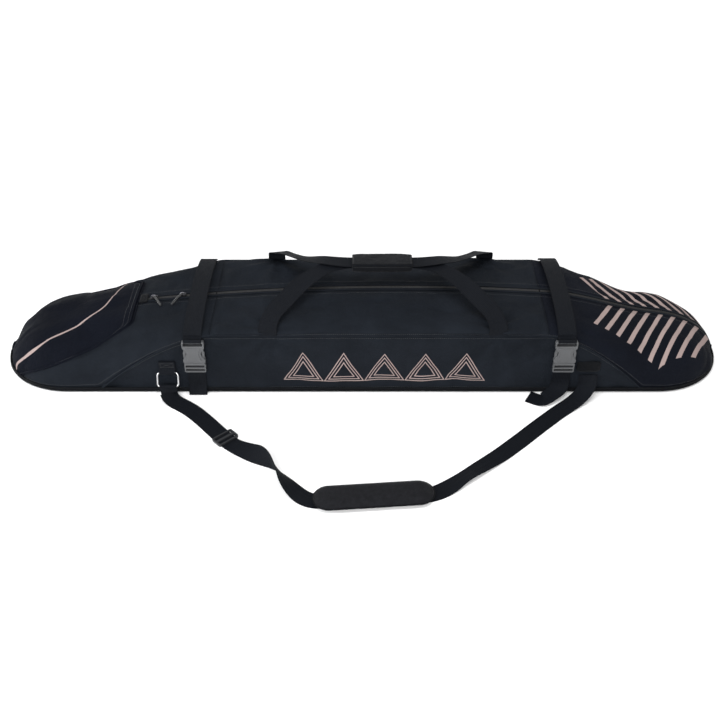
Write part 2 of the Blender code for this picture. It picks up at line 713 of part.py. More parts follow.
def build_plug(end, x, facing, plastic, place, wide):
    half = BUCKLE_WIDTH / 2
    outline = [(half - 0.003, 0), (half - 0.001, 0.002), (half - 0.001, PLUG_HEIGHT - 0.002),
               (half - 0.002, PLUG_HEIGHT)]
    inner = wide / 2 - PLAY
    tall = PLUG_HEIGHT + PRONG_LENGTH
    outline += [
        (inner, PLUG_HEIGHT), (inner, tall - 0.004), (inner - 0.003, tall),
        (inner - PRONG_WIDTH, tall - 0.002), (inner - PRONG_WIDTH, PLUG_HEIGHT + 0.002),
        (inner - PRONG_WIDTH - 0.002, PLUG_HEIGHT), (0.004, PLUG_HEIGHT), (0.0025, tall - 0.006),
    ]
    outline += [(-u, v) for u, v in reversed(outline)]
    plug = prism(f"{end}_buckle_plug", outline, facing, PRONG_THICK, plastic)
    first = 0.0030 + SLOT_HEIGHT / 2
    second = first + SLOT_HEIGHT + 0.0035
    carve(plug, [
        place(0, first, BAR_LENGTH, SLOT_HEIGHT, 2 * BUCKLE_THICK),
        place(0, second, BAR_LENGTH, SLOT_HEIGHT, 2 * BUCKLE_THICK),
    ])
    hang_on_axis(plug, (x, buckle_middle(), BUCKLE_FOOT))


def build_rear_anchor(end, x, web):
    """The strap's sewn end on the rear side wall, below its swing axis."""
    y = -web_front()
    top = strap_pivot(x).z - 0.004
    points = [(x, y, top * share) for share in (0.35, 0.55, 0.75, 1.0)]
    ribbon(f"{end}_strap_anchor", points, [X_AXIS] * len(points), 2, web)


def build_lower_straps(web):
    """The short webs from the base seam to the plugs. The nose one has a loop of slack."""
    y = web_front()
    x = TAIL_STRAP_X
    rise = BUCKLE_FOOT / DRAWN_FOOT
    top = BUCKLE_FOOT + PLUG_HEIGHT + 0.006
    points = [(x, y + 0.0002, 0.0072), (x, y - 0.0075, 0.0016), (x, y - 0.0125, 0.0030),
              (x, y - 0.0085, 0.0120 * rise), (x, y - 0.0012, 0.0220 * rise),
              (x, y, 0.034 * rise), (x, y, 0.060 * rise), (x, y, top)]
    ribbon("tail_lower_strap", points, [X_AXIS] * len(points), 3, web)
    x = NOSE_STRAP_X
    slack = [  # from x, from y, z, then the direction across the web
        (-0.072, -0.0185, 0.0022, 0.56, 0.83), (-0.061, -0.0245, 0.0014, 0.52, 0.85),
        (-0.050, -0.0310, 0.0020, 0.40, 0.92), (-0.041, -0.0335, 0.0045, -0.08, 0.99),
        (-0.032, -0.0300, 0.0085, -0.45, 0.89), (-0.016, -0.0190, 0.0145, -0.72, 0.69),
        (-0.004, -0.0095, 0.0235, -0.975, 0.22), (0.0, -0.0018, 0.0345, -1.0, 0.0),
    ]
    spread = WEB_WIDTH / DRAWN_WEB
    out = y - SLACK_CLEAR * abs(1 - rise)
    points = [(x + dx * spread, out + dy * spread, z * rise) for dx, dy, z, u, v in slack]
    points += [(x, y, 0.046 * rise), (x, y, 0.062 * rise), (x, y, top)]
    sides = [Vector((u, v, 0)) for dx, dy, z, u, v in slack] + [-X_AXIS] * 3
    ribbon("nose_lower_strap", points, sides, 3, web)


# ---------------------------------------------------------------- handles
def handle_axis(side):
    """The line through a handle's two anchors, about which it swings; side is -1 in front."""
    return Vector((0, side * (HALF_WIDTH + PLAY + WEB_THICK), SEAM_HEIGHT + 2.1 * WEB_THICK))


def handle_points(side):
    """From the tail anchor over the grip to the nose anchor."""
    y, z = handle_axis(side).yz
    height = HANDLE_HEIGHT + side * HANDLE_STEP
    tail, nose = HANDLE_TAIL_X, HANDLE_NOSE_X
    grip = GRIP_LENGTH / 2
    rise = (HANDLE_HEIGHT - z) / DRAWN_RISE

    def across(share):
        return y + (GRIP_Y - y) * share

    return [
        (tail, y, z), (tail + 0.001, across(0.03), z + 0.018 * rise),
        (tail + 0.012, across(0.19), z + 0.034 * rise),
        (tail + 0.038, across(0.41), z + 0.046 * rise),
        (tail + 0.072, across(0.67), z + 0.059 * rise), (tail + 0.118, across(0.90), height - 0.003),
        (GRIP_X - grip - 0.012, across(1), height), (GRIP_X - grip / 2, across(1), height),
        (GRIP_X + grip / 2, across(1), height), (GRIP_X + grip + 0.012, across(1), height),
        (nose - 0.118, across(0.90), height - 0.003),
        (nose - 0.072, across(0.67), z + 0.059 * rise),
        (nose - 0.038, across(0.41), z + 0.046 * rise),
        (nose - 0.012, across(0.19), z + 0.034 * rise),
        (nose - 0.001, across(0.03), z + 0.018 * rise),
        (nose, y, z),
    ]


def handle_sides(side):
    tail = [Vector((1, 0, 0)), Vector((1, side * 0.1, 0)), Vector((0.8, side * 0.55, -0.2)),
            Vector((0.45, side * 0.8, -0.4)), Vector((0.1, side, -0.35)), Vector((0, side, -0.12))]
    grip = [Vector((0, side, 0))] * 4
    nose = [Vector((-v.x, v.y, v.z)) for v in reversed(tail)]
    return tail + grip + nose


def build_handles(web, grip_cloth):
    for name, side in (("front", -1), ("rear", 1)):
        handle = ribbon(f"{name}_handle_web", handle_points(side), handle_sides(side), 3, web)
        hang_on_axis(handle, handle_axis(side))
    inner = WEB_WIDTH / 2 + 0.0024
    outer = inner + GRIP_WALL
    low, high = -GRIP_HEIGHT / 2, GRIP_HEIGHT / 2
    flap = high - GRIP_WALL - GAP
    edge = 0.003
    tray = [(-outer, flap - GAP), (-outer, low + edge), (-outer + edge, low), (outer - edge, low),
            (outer, low + edge), (outer, flap - GAP), (inner, flap - GAP),
            (inner, low + edge), (inner - edge + GRIP_WALL, low + GRIP_WALL),
            (-inner + edge - GRIP_WALL, low + GRIP_WALL), (-inner, low + edge), (-inner, flap - GAP)]
    along = frame_of((GRIP_X, GRIP_Y, HANDLE_HEIGHT), Y_AXIS, Z_AXIS)
    wrap = prism("grip_wrap", tray, along, GRIP_LENGTH, grip_cloth)
    hang_on_axis(wrap, handle_axis(-1))
    lip = outer + GAP
    cover = [(-outer, flap), (lip, flap), (lip, low + 0.006),
             (lip + GRIP_WALL, low + 0.006), (lip + GRIP_WALL, high - 0.004),
             (lip, high), (-outer + 0.001, high), (-outer, high - 0.0008)]
    flap_piece = prism("grip_flap", cover, along, GRIP_LENGTH, grip_cloth)
    hang_on_axis(flap_piece, (GRIP_X, GRIP_Y - outer, HANDLE_HEIGHT + flap))


# ---------------------------------------------------------------- shoulder strap
def swing_axis():
    return Vector((0, -HALF_WIDTH + STRAP_AXIS_Y, STRAP_AXIS_Z))


def route_side(tangent, roll):
    flat = Z_AXIS.cross(tangent).normalized()
    return Matrix.Rotation(math.radians(roll), 3, tangent) @ flat


def build_shoulder_strap(web, metal, plastic, pad_cloth):
    points = [Vector(entry[:3]) for entry in SHOULDER_ROUTE]
    sides = []
    for i, entry in enumerate(SHOULDER_ROUTE):
        ahead = points[min(i + 1, len(points) - 1)]
        behind = points[max(i - 1, 0)]
        sides.append(route_side((ahead - behind).normalized(), entry[3]))
    strap = ribbon("shoulder_strap_web", points, sides, 3, web)
    hang_on_axis(strap, swing_axis())
    build_ring(metal)
    build_tab_and_patch(web)
    build_adjuster(points, plastic)
    build_pad(points, pad_cloth)


def build_ring(metal):
    axis = swing_axis()
    down = Vector((0, -math.sin(RING_LEAN), -math.cos(RING_LEAN)))
    bar = RING_WIRE / 2
    centre = Vector((RING_X, axis.y, axis.z)) + down * (RING_HEIGHT / 2 - bar)
    frame = frame_of(centre, X_AXIS, -down)
    outline = rounded_box_outline(RING_WIDTH, RING_HEIGHT, 0.006, 3)
    window = rounded_box_outline(RING_WIDTH - 2 * RING_WIRE, RING_HEIGHT - 2 * RING_WIRE, 0.003, 3)
    count = len(outline)
    vertices, faces = [], []
    for loop in (outline, window):
        for level in (-bar, bar):
            vertices += [frame @ Vector((u, v, level)) for u, v in loop]
    for i in range(count):
        j = (i + 1) % count
        for a, b in ((0, 1), (1, 3), (3, 2), (2, 0)):
            faces.append([a * count + i, a * count + j, b * count + j, b * count + i])
    ring = add_object("strap_ring", vertices, faces, metal)
    hang_on_axis(ring, (RING_X, axis.y, axis.z))


def build_tab_and_patch(web):
    """The folded tab that holds the ring, and the patch sewn over the strap's nose end."""
    axis = swing_axis()
    wall = -HALF_WIDTH - PLAY
    inner = RING_WIRE / 2 * 1.42 + 0.0005
    thick = 0.0016
    steps = 8
    bottom = [(inner * math.cos(a), inner * math.sin(a))
              for a in [math.pi + math.pi * k / steps for k in range(steps + 1)]]
    outside = [(v * (inner + thick) / inner, w * (inner + thick) / inner) for v, w in bottom]
    back = min(wall - axis.y, inner + thick)
    top = TAB_TOP - axis.z
    loop = [(-inner, 0.004), *bottom, (back - thick, 0.006), (back - thick, top), (back, top),
            (back, 0.004), *reversed(outside), (-inner - thick, 0.006),
            (back - 2 * thick - 0.001, top - 0.004), (back - 2 * thick - 0.001, top),
            (back - thick - GAP, top), (back - thick - GAP, 0.012)]
    frame = frame_of((RING_X, axis.y, axis.z), Y_AXIS, Z_AXIS)
    prism("ring_tab", loop[:-1], frame, TAB_WIDTH, web)
    outline = rounded_box_outline(PATCH_WIDTH, PATCH_HEIGHT, 0.006)
    middle = (NOSE_END_X, wall - 0.0012, axis.z + PATCH_HEIGHT / 2 + 0.002)
    prism("strap_patch", outline, frame_of(middle, X_AXIS, Z_AXIS), 0.0024, web)


def build_adjuster(points, plastic):
    """The sliding bar that holds the strap's doubled end, flat on the web."""
    here, ahead = points[6], points[7]
    along = (ahead - here).normalized()
    centre = here.lerp(ahead, 0.6)
    height = 0.0042
    centre.z += WEB_THICK / 2 + PLAY + height / 2
    frame = frame_of(centre, along, Z_AXIS.cross(along))
    outline = rounded_box_outline(ADJUSTER_LENGTH, ADJUSTER_WIDTH, 0.004)
    adjuster = prism("strap_adjuster", outline, frame, height, plastic)
    adjuster.matrix_world = frame
    adjuster.data.transform(frame.inverted())
    wide = WEB_WIDTH + 0.002
    opening = ADJUSTER_LENGTH / 2 - 0.0065
    carve(adjuster, [((side * (0.003 + opening / 2), 0, 0), (opening, wide, 3 * height))
                     for side in (-1, 1)])


def build_pad(points, pad_cloth):
    """The shoulder pad, a long rounded cushion that slides on the web."""
    tail, nose = points[16], points[20]
    along = Vector((nose.x - tail.x, nose.y - tail.y, 0)).normalized()
    centre = tail.lerp(nose, 0.49)
    low = WEB_THICK + 2 * PLAY + 0.0002
    frame = frame_of((centre.x, centre.y, low), along, Z_AXIS.cross(along))
    vertices, faces = [], []
    corner = PAD_WIDTH / 2
    steps = 10
    levels = [(0.90, 0.0), (1.0, 0.30), (0.985, 0.55), (0.90, 0.80), (0.68, 0.97), (0.40, 1.0)]
    for scale, height in levels:
        shrink = corner * (1 - scale)
        radius = corner - shrink
        ends = PAD_LENGTH / 2 - corner
        for end in (1, -1):
            for k in range(steps + 1):
                angle = math.pi * (k / steps - 0.5)
                vertices.append(frame @ Vector((end * (ends + radius * math.cos(angle)),
                                                end * radius * math.sin(angle),
                                                height * PAD_HEIGHT)))
    ring = 2 * (steps + 1)
    for level in range(len(levels) - 1):
        for i in range(ring):
            j = (i + 1) % ring
            a, b = level * ring, (level + 1) * ring
            faces.append([a + i, a + j, b + j, b + i])
    faces += [list(range(ring)), list(range((len(levels) - 1) * ring, len(levels) * ring))]
    pad = add_object("shoulder_pad", vertices, faces, pad_cloth, 60)
    hang_on_axis(pad, (centre.x, centre.y, low))


def main():
    clear_scene()
    charcoal = make_material("charcoal nylon", (0.020, 0.023, 0.028), 0.80)
    dark = make_material("dark cap nylon", (0.007, 0.008, 0.013), 0.65)
    foam = make_material("grey lining", (0.06, 0.065, 0.07), 0.90)
    tape = make_material("black zip tape", (0.008, 0.009, 0.011), 0.60)
    web = make_material("charcoal webbing", (0.019, 0.021, 0.025), 0.75)
    plastic = make_material("grey buckle plastic", (0.16, 0.165, 0.17), 0.45)
    black_plastic = make_material("black plastic", (0.012, 0.013, 0.015), 0.45)
    metal = make_material("bright steel", (0.62, 0.62, 0.63), 0.25, 1.0)
    dark_metal = make_material("dark slider metal", (0.05, 0.05, 0.055), 0.35, 1.0)
    cord = make_material("black pull cord", (0.009, 0.009, 0.010), 0.7)
    fleece = make_material("pad fleece", (0.028, 0.031, 0.040), 0.9)
    build_base(charcoal, foam)
    build_side_walls(charcoal, foam)
    build_end_panels(charcoal)
    build_flaps(charcoal, tape)
    build_tail_cap(dark)
    build_piping(dark)
    build_fixed_zip(tape, dark)
    build_sliders(dark_metal, cord)
    build_compression_straps(web, plastic)
    build_handles(web, charcoal)
    build_shoulder_strap(web, metal, black_plastic, fleece)


main()
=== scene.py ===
import math

import bmesh
import bpy
import numpy as np
from mathutils import Matrix, Vector, noise


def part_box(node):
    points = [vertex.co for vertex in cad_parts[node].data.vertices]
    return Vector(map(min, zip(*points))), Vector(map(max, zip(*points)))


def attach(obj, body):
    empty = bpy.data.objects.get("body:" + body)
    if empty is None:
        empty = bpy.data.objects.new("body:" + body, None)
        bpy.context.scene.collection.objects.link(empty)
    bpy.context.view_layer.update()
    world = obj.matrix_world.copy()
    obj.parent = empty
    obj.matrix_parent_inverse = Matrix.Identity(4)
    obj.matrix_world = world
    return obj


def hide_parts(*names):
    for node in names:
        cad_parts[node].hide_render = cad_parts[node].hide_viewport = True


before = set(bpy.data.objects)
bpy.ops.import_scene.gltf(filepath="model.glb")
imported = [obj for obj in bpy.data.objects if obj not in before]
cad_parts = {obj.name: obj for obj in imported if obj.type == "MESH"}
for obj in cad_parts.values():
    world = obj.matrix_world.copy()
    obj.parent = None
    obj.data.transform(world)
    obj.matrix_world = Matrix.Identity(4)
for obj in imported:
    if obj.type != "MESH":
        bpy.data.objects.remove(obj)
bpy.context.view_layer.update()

# ---------------------------------------------------------------- sizes, in metres
flap_low, flap_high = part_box("front_top_flap")
HALF_LENGTH, HALF_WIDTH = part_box("base_panel")[1][:2]
FLOOR_OF_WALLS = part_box("front_side_wall")[0][2]
SEAM_HEIGHT = 0.155
FLAP_TAIL_X, FLAP_NOSE_X = flap_low[0], flap_high[0]
GAP = 0.0003
ZIP_SLOT = 0.016
WEB_WIDTH, WEB_THICK, PLAY = 0.04, 0.002, 0.0006
CLOTH = 0.0034               # the padded nylon, outside to lining
ZIP_PEAK, ZIP_PEAK_X, ZIP_ARC_RADIUS = 0.18, 0.08, 5.0
END_ROUND, CROWN_ROUND, TIP_HEIGHT = 0.16, 0.165, 0.022
TAIL_SEAM_STRAIGHT, TAIL_SEAM_FOOT = HALF_LENGTH + FLAP_TAIL_X, 0.235
NOSE_SEAM_STRAIGHT, NOSE_SEAM_FOOT = HALF_LENGTH - FLAP_NOSE_X, 0.195
SEAM_DIVE_POWER, CROWN_POWER = 1.55, 0.8
TAIL_DROP, TAIL_DROP_FROM, TAIL_DROP_OVER = 0.012, 0.325, 0.2
NOSE_DROP, NOSE_DROP_FROM, NOSE_DROP_OVER = 0.03, 0.405, 0.25
CAP_TOP, CAP_FOOT = 0.312, 0.05
TAIL_STRAP_X, NOSE_STRAP_X = -0.367, 0.443
HANDLE_TAIL_X, HANDLE_NOSE_X = -0.204, 0.294
GRIP_X, GRIP_Y, HANDLE_HEIGHT, GRIP_LENGTH = 0.045, 0.015, 0.234, 0.135
WALL_START, WALL_LENGTH = -0.592, 1.222
BAG_MIDDLE, LENGTH_WEIGHT = (0, 0, 0.03), 0.05  # what counts as outward, mostly across the bag
MOST_DRAPE = 0.0085          # how far the cloth may settle from its pattern
QUILT_GAP = 0.006            # keeps the wall quilts clear of the puckers in the cloth
WELT_RADIUS, FINE_WELT_RADIUS = 0.0021, 0.0015
SLIDER_START = -HALF_LENGTH + 0.35
FINE_STITCH = (0.0036, 0.0024)
BUCKLE_FOOT, PLUG_HEIGHT, SOCKET_HEIGHT = 0.064, 0.0255, 0.056
BUCKLE_THICK, BAR_HEIGHT = 0.0105, 0.004
RING_X, RING_WIDTH, RING_HEIGHT, RING_WIRE = -0.431, 0.05, 0.036, 0.004
RING_LEAN = math.radians(22)
STRAP_AXIS = Vector((0, -HALF_WIDTH - 0.006, 0.058))
X_AXIS, Y_AXIS, Z_AXIS = Vector((1, 0, 0)), Vector((0, 1, 0)), Vector((0, 0, 1))

SHOULDER_ROUTE = [  # x, y, z of the web's middle line, then its roll about that line
    (-0.431, -0.1778, 0.016, 0), (-0.4262, -0.185, 0.0075, 0), (-0.414, -0.195, 0.0022, 0),
    (-0.394, -0.209, 0.0013, 0), (-0.37, -0.229, 0.0013, 0), (-0.341, -0.26, 0.0013, 0),
    (-0.308, -0.299, 0.0013, 0), (-0.279, -0.331, 0.0017, 0), (-0.257, -0.35, 0.005, 8),
    (-0.23, -0.37, 0.0105, 28), (-0.206, -0.39, 0.018, 62), (-0.187, -0.409, 0.0208, 90),
    (-0.17, -0.431, 0.019, 118), (-0.153, -0.456, 0.0115, 150), (-0.133, -0.479, 0.004, 172),
    (-0.112, -0.496, 0.0015, 180), (-0.085, -0.5035, 0.0013, 180), (-0.03, -0.501, 0.0013, 180),
    (0.03, -0.4965, 0.0013, 180), (0.09, -0.4915, 0.0013, 180), (0.135, -0.485, 0.0013, 180),
    (0.17, -0.467, 0.0021, 180), (0.205, -0.44, 0.0072, 164), (0.241, -0.409, 0.005, 170),
    (0.287, -0.369, 0.0018, 178), (0.334, -0.324, 0.0013, 180), (0.382, -0.276, 0.0013, 180),
    (0.43, -0.23, 0.0015, 180), (0.466, -0.201, 0.005, 180), (0.488, -0.184, 0.015, 180),
    (0.5, -0.172, 0.032, 180), (0.5, -0.164, 0.054, 180),
]


# ---------------------------------------------------------------- camera and light
def place_camera():
    data = bpy.data.cameras.new("camera")
    data.lens = 50
    data.sensor_width = 36
    camera = bpy.data.objects.new("camera", data)
    camera.location = (-0.0047, -1.913, 1.4135)
    camera.rotation_euler = (math.radians(90 - 37), 0, 0)
    bpy.context.collection.objects.link(camera)
    bpy.context.scene.camera = camera


def soft_light(name, place, aim, size, power, colour=(1, 1, 1)):
    """A rectangular light that shines from its place towards its aim."""
    data = bpy.data.lights.new(name, "AREA")
    data.shape = "RECTANGLE"
    data.size, data.size_y = size
    data.energy = power
    data.color = colour
    light = bpy.data.objects.new(name, data)
    light.location = place
    direction = Vector(aim) - Vector(place)
    light.rotation_euler = direction.to_track_quat("-Z", "Y").to_euler()
    bpy.context.collection.objects.link(light)


def light_studio():
    """Soft light from above, from the front and from the tail, and one for the wall of light."""
    soft_light("over_light", (0.2, -0.5, 2.4), (0, 0, 0.1), (2.2, 0.7), 34)
    soft_light("front_light", (-0.7, -2.6, 1.3), (0, -0.1, 0.05), (2.0, 0.7), 62)
    soft_light("tail_light", (-2.4, -0.5, 0.9), (-0.3, 0, 0.1), (0.7, 0.7), 26, (0.92, 0.96, 1.0))
    soft_light("backdrop_light", (0, 4.4, 2.4), (0, 5.2, 0), (8.0, 1.6), 190)
    world = bpy.data.worlds.new("studio")
    world.use_nodes = True
    background = world.node_tree.nodes["Background"]
    background.inputs["Color"].default_value = (1, 1, 1, 1)
    background.inputs["Strength"].default_value = 0.66
    bpy.context.scene.world = world
    bpy.context.scene.view_settings.view_transform = "Standard"


def lay_floor():
    """Plain pale paper, 12 m square, under the bag."""
    half = 6
    mesh = bpy.data.meshes.new("floor")
    corners = [(-half, -half, 0), (half, -half, 0), (half, half, 0), (-half, half, 0)]
    mesh.from_pydata(corners, [], [(0, 1, 2, 3)])
    paper = bpy.data.materials.new("floor_paper")
    paper.use_nodes = True
    shader = paper.node_tree.nodes["Principled BSDF"]
    shader.inputs["Base Color"].default_value = (0.97, 0.97, 0.97, 1)
    shader.inputs["Roughness"].default_value = 0.9
    mesh.materials.append(paper)
    put_in_scene("floor", mesh)


# ---------------------------------------------------------------- shader maths
class Signal:
    """A shader socket that takes part in Python expressions."""

    def __init__(self, finish, socket):
        self.finish = finish
        self.socket = socket

    def maths(self, operation, *values):
        return self.finish.node("ShaderNodeMath", {"operation": operation}, *values)

    def __add__(self, other):
        return self.maths("ADD", self, other)

    def __sub__(self, other):
        return self.maths("SUBTRACT", self, other)

    def __rsub__(self, other):
        return self.maths("SUBTRACT", other, self)

    def __mul__(self, other):
        return self.maths("MULTIPLY", self, other)

    def __truediv__(self, other):
        return self.maths("DIVIDE", self, other)

    def __lt__(self, other):
        return self.maths("LESS_THAN", self, other)

    def __gt__(self, other):
        return self.maths("GREATER_THAN", self, other)

    def __mod__(self, other):
        return self.maths("FLOORED_MODULO", self, other)

    def __abs__(self):
        return self.maths("ABSOLUTE", self)

    __radd__ = __add__
    __rmul__ = __mul__

    def sine(self):
        return self.maths("SINE", self)

    def most(self, other):
        return self.maths("MAXIMUM", self, other)

    def ramp(self, low, high):
        """0 below low, 1 above high, smooth between them."""
        return self.finish.node("ShaderNodeMapRange", {"interpolation_type": "SMOOTHSTEP"},
                                self, low, high)


class Finish:
    """One material: a Principled shader, its constant sockets and the nodes that vary it."""

    def __init__(self, name, **constants):
        self.material = bpy.data.materials.new(name)
        self.material.use_nodes = True
        self.tree = self.material.node_tree
        self.shader = self.tree.nodes["Principled BSDF"]
        for socket, value in constants.items():
            self.shader.inputs[socket.replace("_", " ")].default_value = value

    def node(self, kind, settings, *values, output=0, **named):
        node = self.tree.nodes.new(kind)
        for key, value in settings.items():
            setattr(node, key, value)
        for socket, value in [*enumerate(values), *named.items()]:
            if isinstance(socket, str):
                socket = socket.replace("_", " ")
            self.fill(node.inputs[socket], value)
        return Signal(self, node.outputs[output])

    def fill(self, socket, value):
        if isinstance(value, Signal):
            self.tree.links.new(value.socket, socket)
        else:
            socket.default_value = value

    def varies(self, **sockets):
        for socket, value in sockets.items():
            self.fill(self.shader.inputs[socket.replace("_", " ")], value)

    def place(self, kind="Object"):
        """The three coordinates of a surface point, in metres."""
        point = self.node("ShaderNodeTexCoord", {}, output=kind)
        return [self.node("ShaderNodeSeparateXYZ", {}, point, output=k) for k in range(3)]

    def cloud(self, scale, detail=3.0, rough=0.6, kind="Object"):
        point = self.node("ShaderNodeTexCoord", {}, output=kind)
        return self.node("ShaderNodeTexNoise", {}, Vector=point, Scale=scale, Detail=detail,
                         Roughness=rough)

    def blend(self, factor, first, second):
        node = self.tree.nodes.new("ShaderNodeMix")
        node.data_type = "RGBA"
        for socket, value in ((0, factor), (6, first), (7, second)):
            self.fill(node.inputs[socket], value)
        return Signal(self, node.outputs[2])

    def shades(self, factor, colour, low, high):
        """One colour between two shares of its strength."""
        return self.blend(factor, tint(*colour, low), tint(*colour, high))

    def relief(self, height, distance, strength=1.0):
        bump = self.node("ShaderNodeBump", {}, Strength=strength, Distance=distance, Height=height)
        self.fill(self.shader.inputs["Normal"], bump)


def tint(red, green, blue, share=1.0):
    return (red * share, green * share, blue * share, 1)


CHARCOAL = (0.0088, 0.011, 0.015)
CAP_BLACK = (0.0026, 0.0036, 0.0072)
PRINT_BEIGE = (0.3, 0.232, 0.218)


def plain_weave(finish, pitch):
    """Over and under threads of nylon cloth, from the cloth's own flat coordinates."""
    u, v, _ = finish.place("UV")
    turn = 2 * math.pi / pitch
    return (u * turn).sine() * (v * turn).sine()


def nylon(name, colour, print_mask=None, roughness=0.7, sheen=0.0):
    """Woven nylon, a little uneven in shade and creased, with a print on it where one is given."""
    finish = Finish(name, Sheen_Weight=sheen, Sheen_Roughness=0.45, Specular_IOR_Level=0.05)
    weave = plain_weave(finish, 0.0014)
    patches = finish.cloud(9.0, 4.0)
    fine = finish.cloud(420.0, 2.0)
    wrinkles = finish.cloud(24.0, 5.0, 0.62)
    shade = patches.ramp(0.3, 0.75)
    cloth = finish.shades(shade, colour, 0.82, 1.22)
    threads = finish.blend((weave * 0.5 + 0.5) * 0.55, cloth, tint(*colour, 0.5))
    rough = roughness + patches * 0.08
    if print_mask is None:
        finish.varies(Base_Color=threads, Roughness=rough - weave * 0.03)
    else:
        ink = print_mask(finish) * fine.ramp(0.16, 0.32)
        finish.varies(Base_Color=finish.blend(ink, threads, tint(*PRINT_BEIGE)),
                      Roughness=rough - ink * 0.12)
    finish.relief(weave * 0.5 + fine * 0.6 + wrinkles * 22, 0.00035, 0.6)
    return finish.material


def peaks_print(finish):
    """A row of mountain peaks in double outline, across the middle of the front wall."""
    u, v, _ = finish.place("UV")
    x, z = u + WALL_START, v + FLOOR_OF_WALLS
    start, end, foot, height, pitch = -0.1755, 0.2745, 0.031, 0.076, 0.09
    line, insets = 0.001, (0.001, 0.0064, 0.0128)
    slope = 2 * height / pitch
    across = abs((x - start) % pitch - pitch / 2)
    above = (z - foot - height + across * slope) * (1 / math.hypot(1, slope))
    inside = above.most(foot - z)
    outer, middle, inner = [abs(inside + inset) < line for inset in insets]
    return (outer + middle + inner) * (x > start) * (x < end)


def chevron_print(finish):
    """Nested chevrons that point to the nose, split by the zip."""
    x, y, z = finish.place()
    ahead = x + abs(y) * 0.62
    stripes = (ahead % 0.03) < 0.0105
    zone = (ahead > 0.5695) * (ahead < 0.82) * (abs(y) < 0.144 - abs(x - 0.66) * 0.36)
    return stripes * zone * (z > 0.012)


def sweep_print(finish):
    """One thin curved line over the tail cap, widest in its middle."""
    x, y, _ = finish.place()
    along = (x + 0.805) / 0.245
    square = along * along
    fourth = square * square
    eighth = fourth * fourth
    steep = eighth * eighth
    foot = 1 - along.ramp(0.0, 0.3)
    middle = square * 0.118 + steep * 0.12 + foot * foot * 0.016 - 0.104
    width = 0.0012 + along * (1 - along) * 0.0088 + steep * 0.012
    return (abs(y - middle) < width) * (x > -0.803) * (x < -0.548)


def webbing(name, colour=(0.0034, 0.0043, 0.0064), rough=0.62):
    """Ribbed flat webbing: fine ribs across, two cords along each edge."""
    finish = Finish(name, Specular_IOR_Level=0.09)
    u, v, _ = finish.place("UV")
    ribs = (u * (2 * math.pi / 0.0019) + (v * (2 * math.pi / 0.005)).sine() * 1.6).sine()
    rows = (v * (2 * math.pi / 0.0033)).sine()
    edge = abs(v).ramp(0.0172, 0.019)
    wear = finish.cloud(60.0, 3.0)
    body = finish.shades(ribs * 0.3 + 0.35, colour, 1.35, 0.55)
    body = finish.blend(wear.ramp(0.55, 0.8) * 0.35, body, tint(*colour, 1.9))
    finish.varies(Base_Color=finish.blend(edge * 0.5, body, tint(*colour, 0.6)),
                  Roughness=rough + wear * 0.15)
    finish.relief(ribs * 0.7 + rows * 0.35 + edge * 0.8, 0.0005, 0.7)
    return finish.material


def moulded(name, colour, roughness=0.42):
    finish = Finish(name, Specular_IOR_Level=0.5)
    grain = finish.cloud(900.0, 2.0)
    smear = finish.cloud(35.0, 3.0)
    finish.varies(Base_Color=finish.shades(smear, colour, 0.85, 1.12),
                  Roughness=roughness + smear * 0.14)
    finish.relief(grain, 0.0002, 0.35)
    return finish.material


def metal(name, colour, roughness, weight=1.0):
    finish = Finish(name, Metallic=weight)
    brushed = finish.cloud(300.0, 3.0)
    worn = finish.cloud(70.0, 3.0)
    finish.varies(Base_Color=finish.shades(worn.ramp(0.45, 0.7), colour, 1, 0.72),
                  Roughness=roughness + brushed * 0.16)
    finish.relief(brushed, 0.0001, 0.25)
    return finish.material


def fleece(name, colour=(0.0058, 0.006, 0.0072)):
    finish = Finish(name, Sheen_Weight=0.06, Sheen_Roughness=0.35, Specular_IOR_Level=0.1)
    tufts = finish.cloud(520.0, 4.0, 0.7)
    clumps = finish.cloud(120.0, 3.0)
    finish.varies(Base_Color=finish.shades(clumps * tufts * 2, colour, 0.45, 2.1),
                  Roughness=0.78 + tufts * 0.15)
    finish.relief(tufts * 0.7 + clumps * 0.5, 0.0018, 0.8)
    return finish.material


def thread_finish(name, colour):
    finish = Finish(name, Sheen_Weight=0.3)
    twist = finish.cloud(1400.0, 2.0)
    finish.varies(Base_Color=finish.shades(twist, colour, 0.7, 1.3),
                  Roughness=0.55 + twist * 0.2)
    finish.relief(twist, 0.0002, 0.5)
    return finish.material


def rope_finish(name, colour=(0.0115, 0.0115, 0.0125)):
    finish = Finish(name, Sheen_Weight=0.35, Specular_IOR_Level=0.4)
    u, v, _ = finish.place("UV")
    strands = ((u + v) * (2 * math.pi / 0.0012)).sine()
    finish.varies(Base_Color=finish.shades(strands * 0.4 + 0.4, colour, 1.5, 0.5),
                  Roughness=0.6 + strands * 0.08)
    finish.relief(strands, 0.0003, 0.6)
    return finish.material


# ---------------------------------------------------------------- shape of the shell
def clamp(value, low=0.0, high=1.0):
    return max(low, min(high, value))


def smooth(value):
    value = clamp(value)
    return value * value * (3 - 2 * value)


def inset(x):
    return HALF_LENGTH - abs(x)


def half_width(x):
    u = clamp(1 - inset(x) / END_ROUND)
    return HALF_WIDTH * math.sqrt(1 - u * u)


def zip_height(x):
    height = ZIP_PEAK - ZIP_ARC_RADIUS + math.sqrt(ZIP_ARC_RADIUS ** 2 - (x - ZIP_PEAK_X) ** 2)
    if x < 0:
        height -= TAIL_DROP * smooth((TAIL_DROP_FROM - inset(x)) / TAIL_DROP_OVER)
    else:
        height -= NOSE_DROP * smooth((NOSE_DROP_FROM - inset(x)) / NOSE_DROP_OVER)
    u = clamp(1 - inset(x) / CROWN_ROUND)
    return max(height * math.sqrt(1 - u ** 2.6), TIP_HEIGHT)


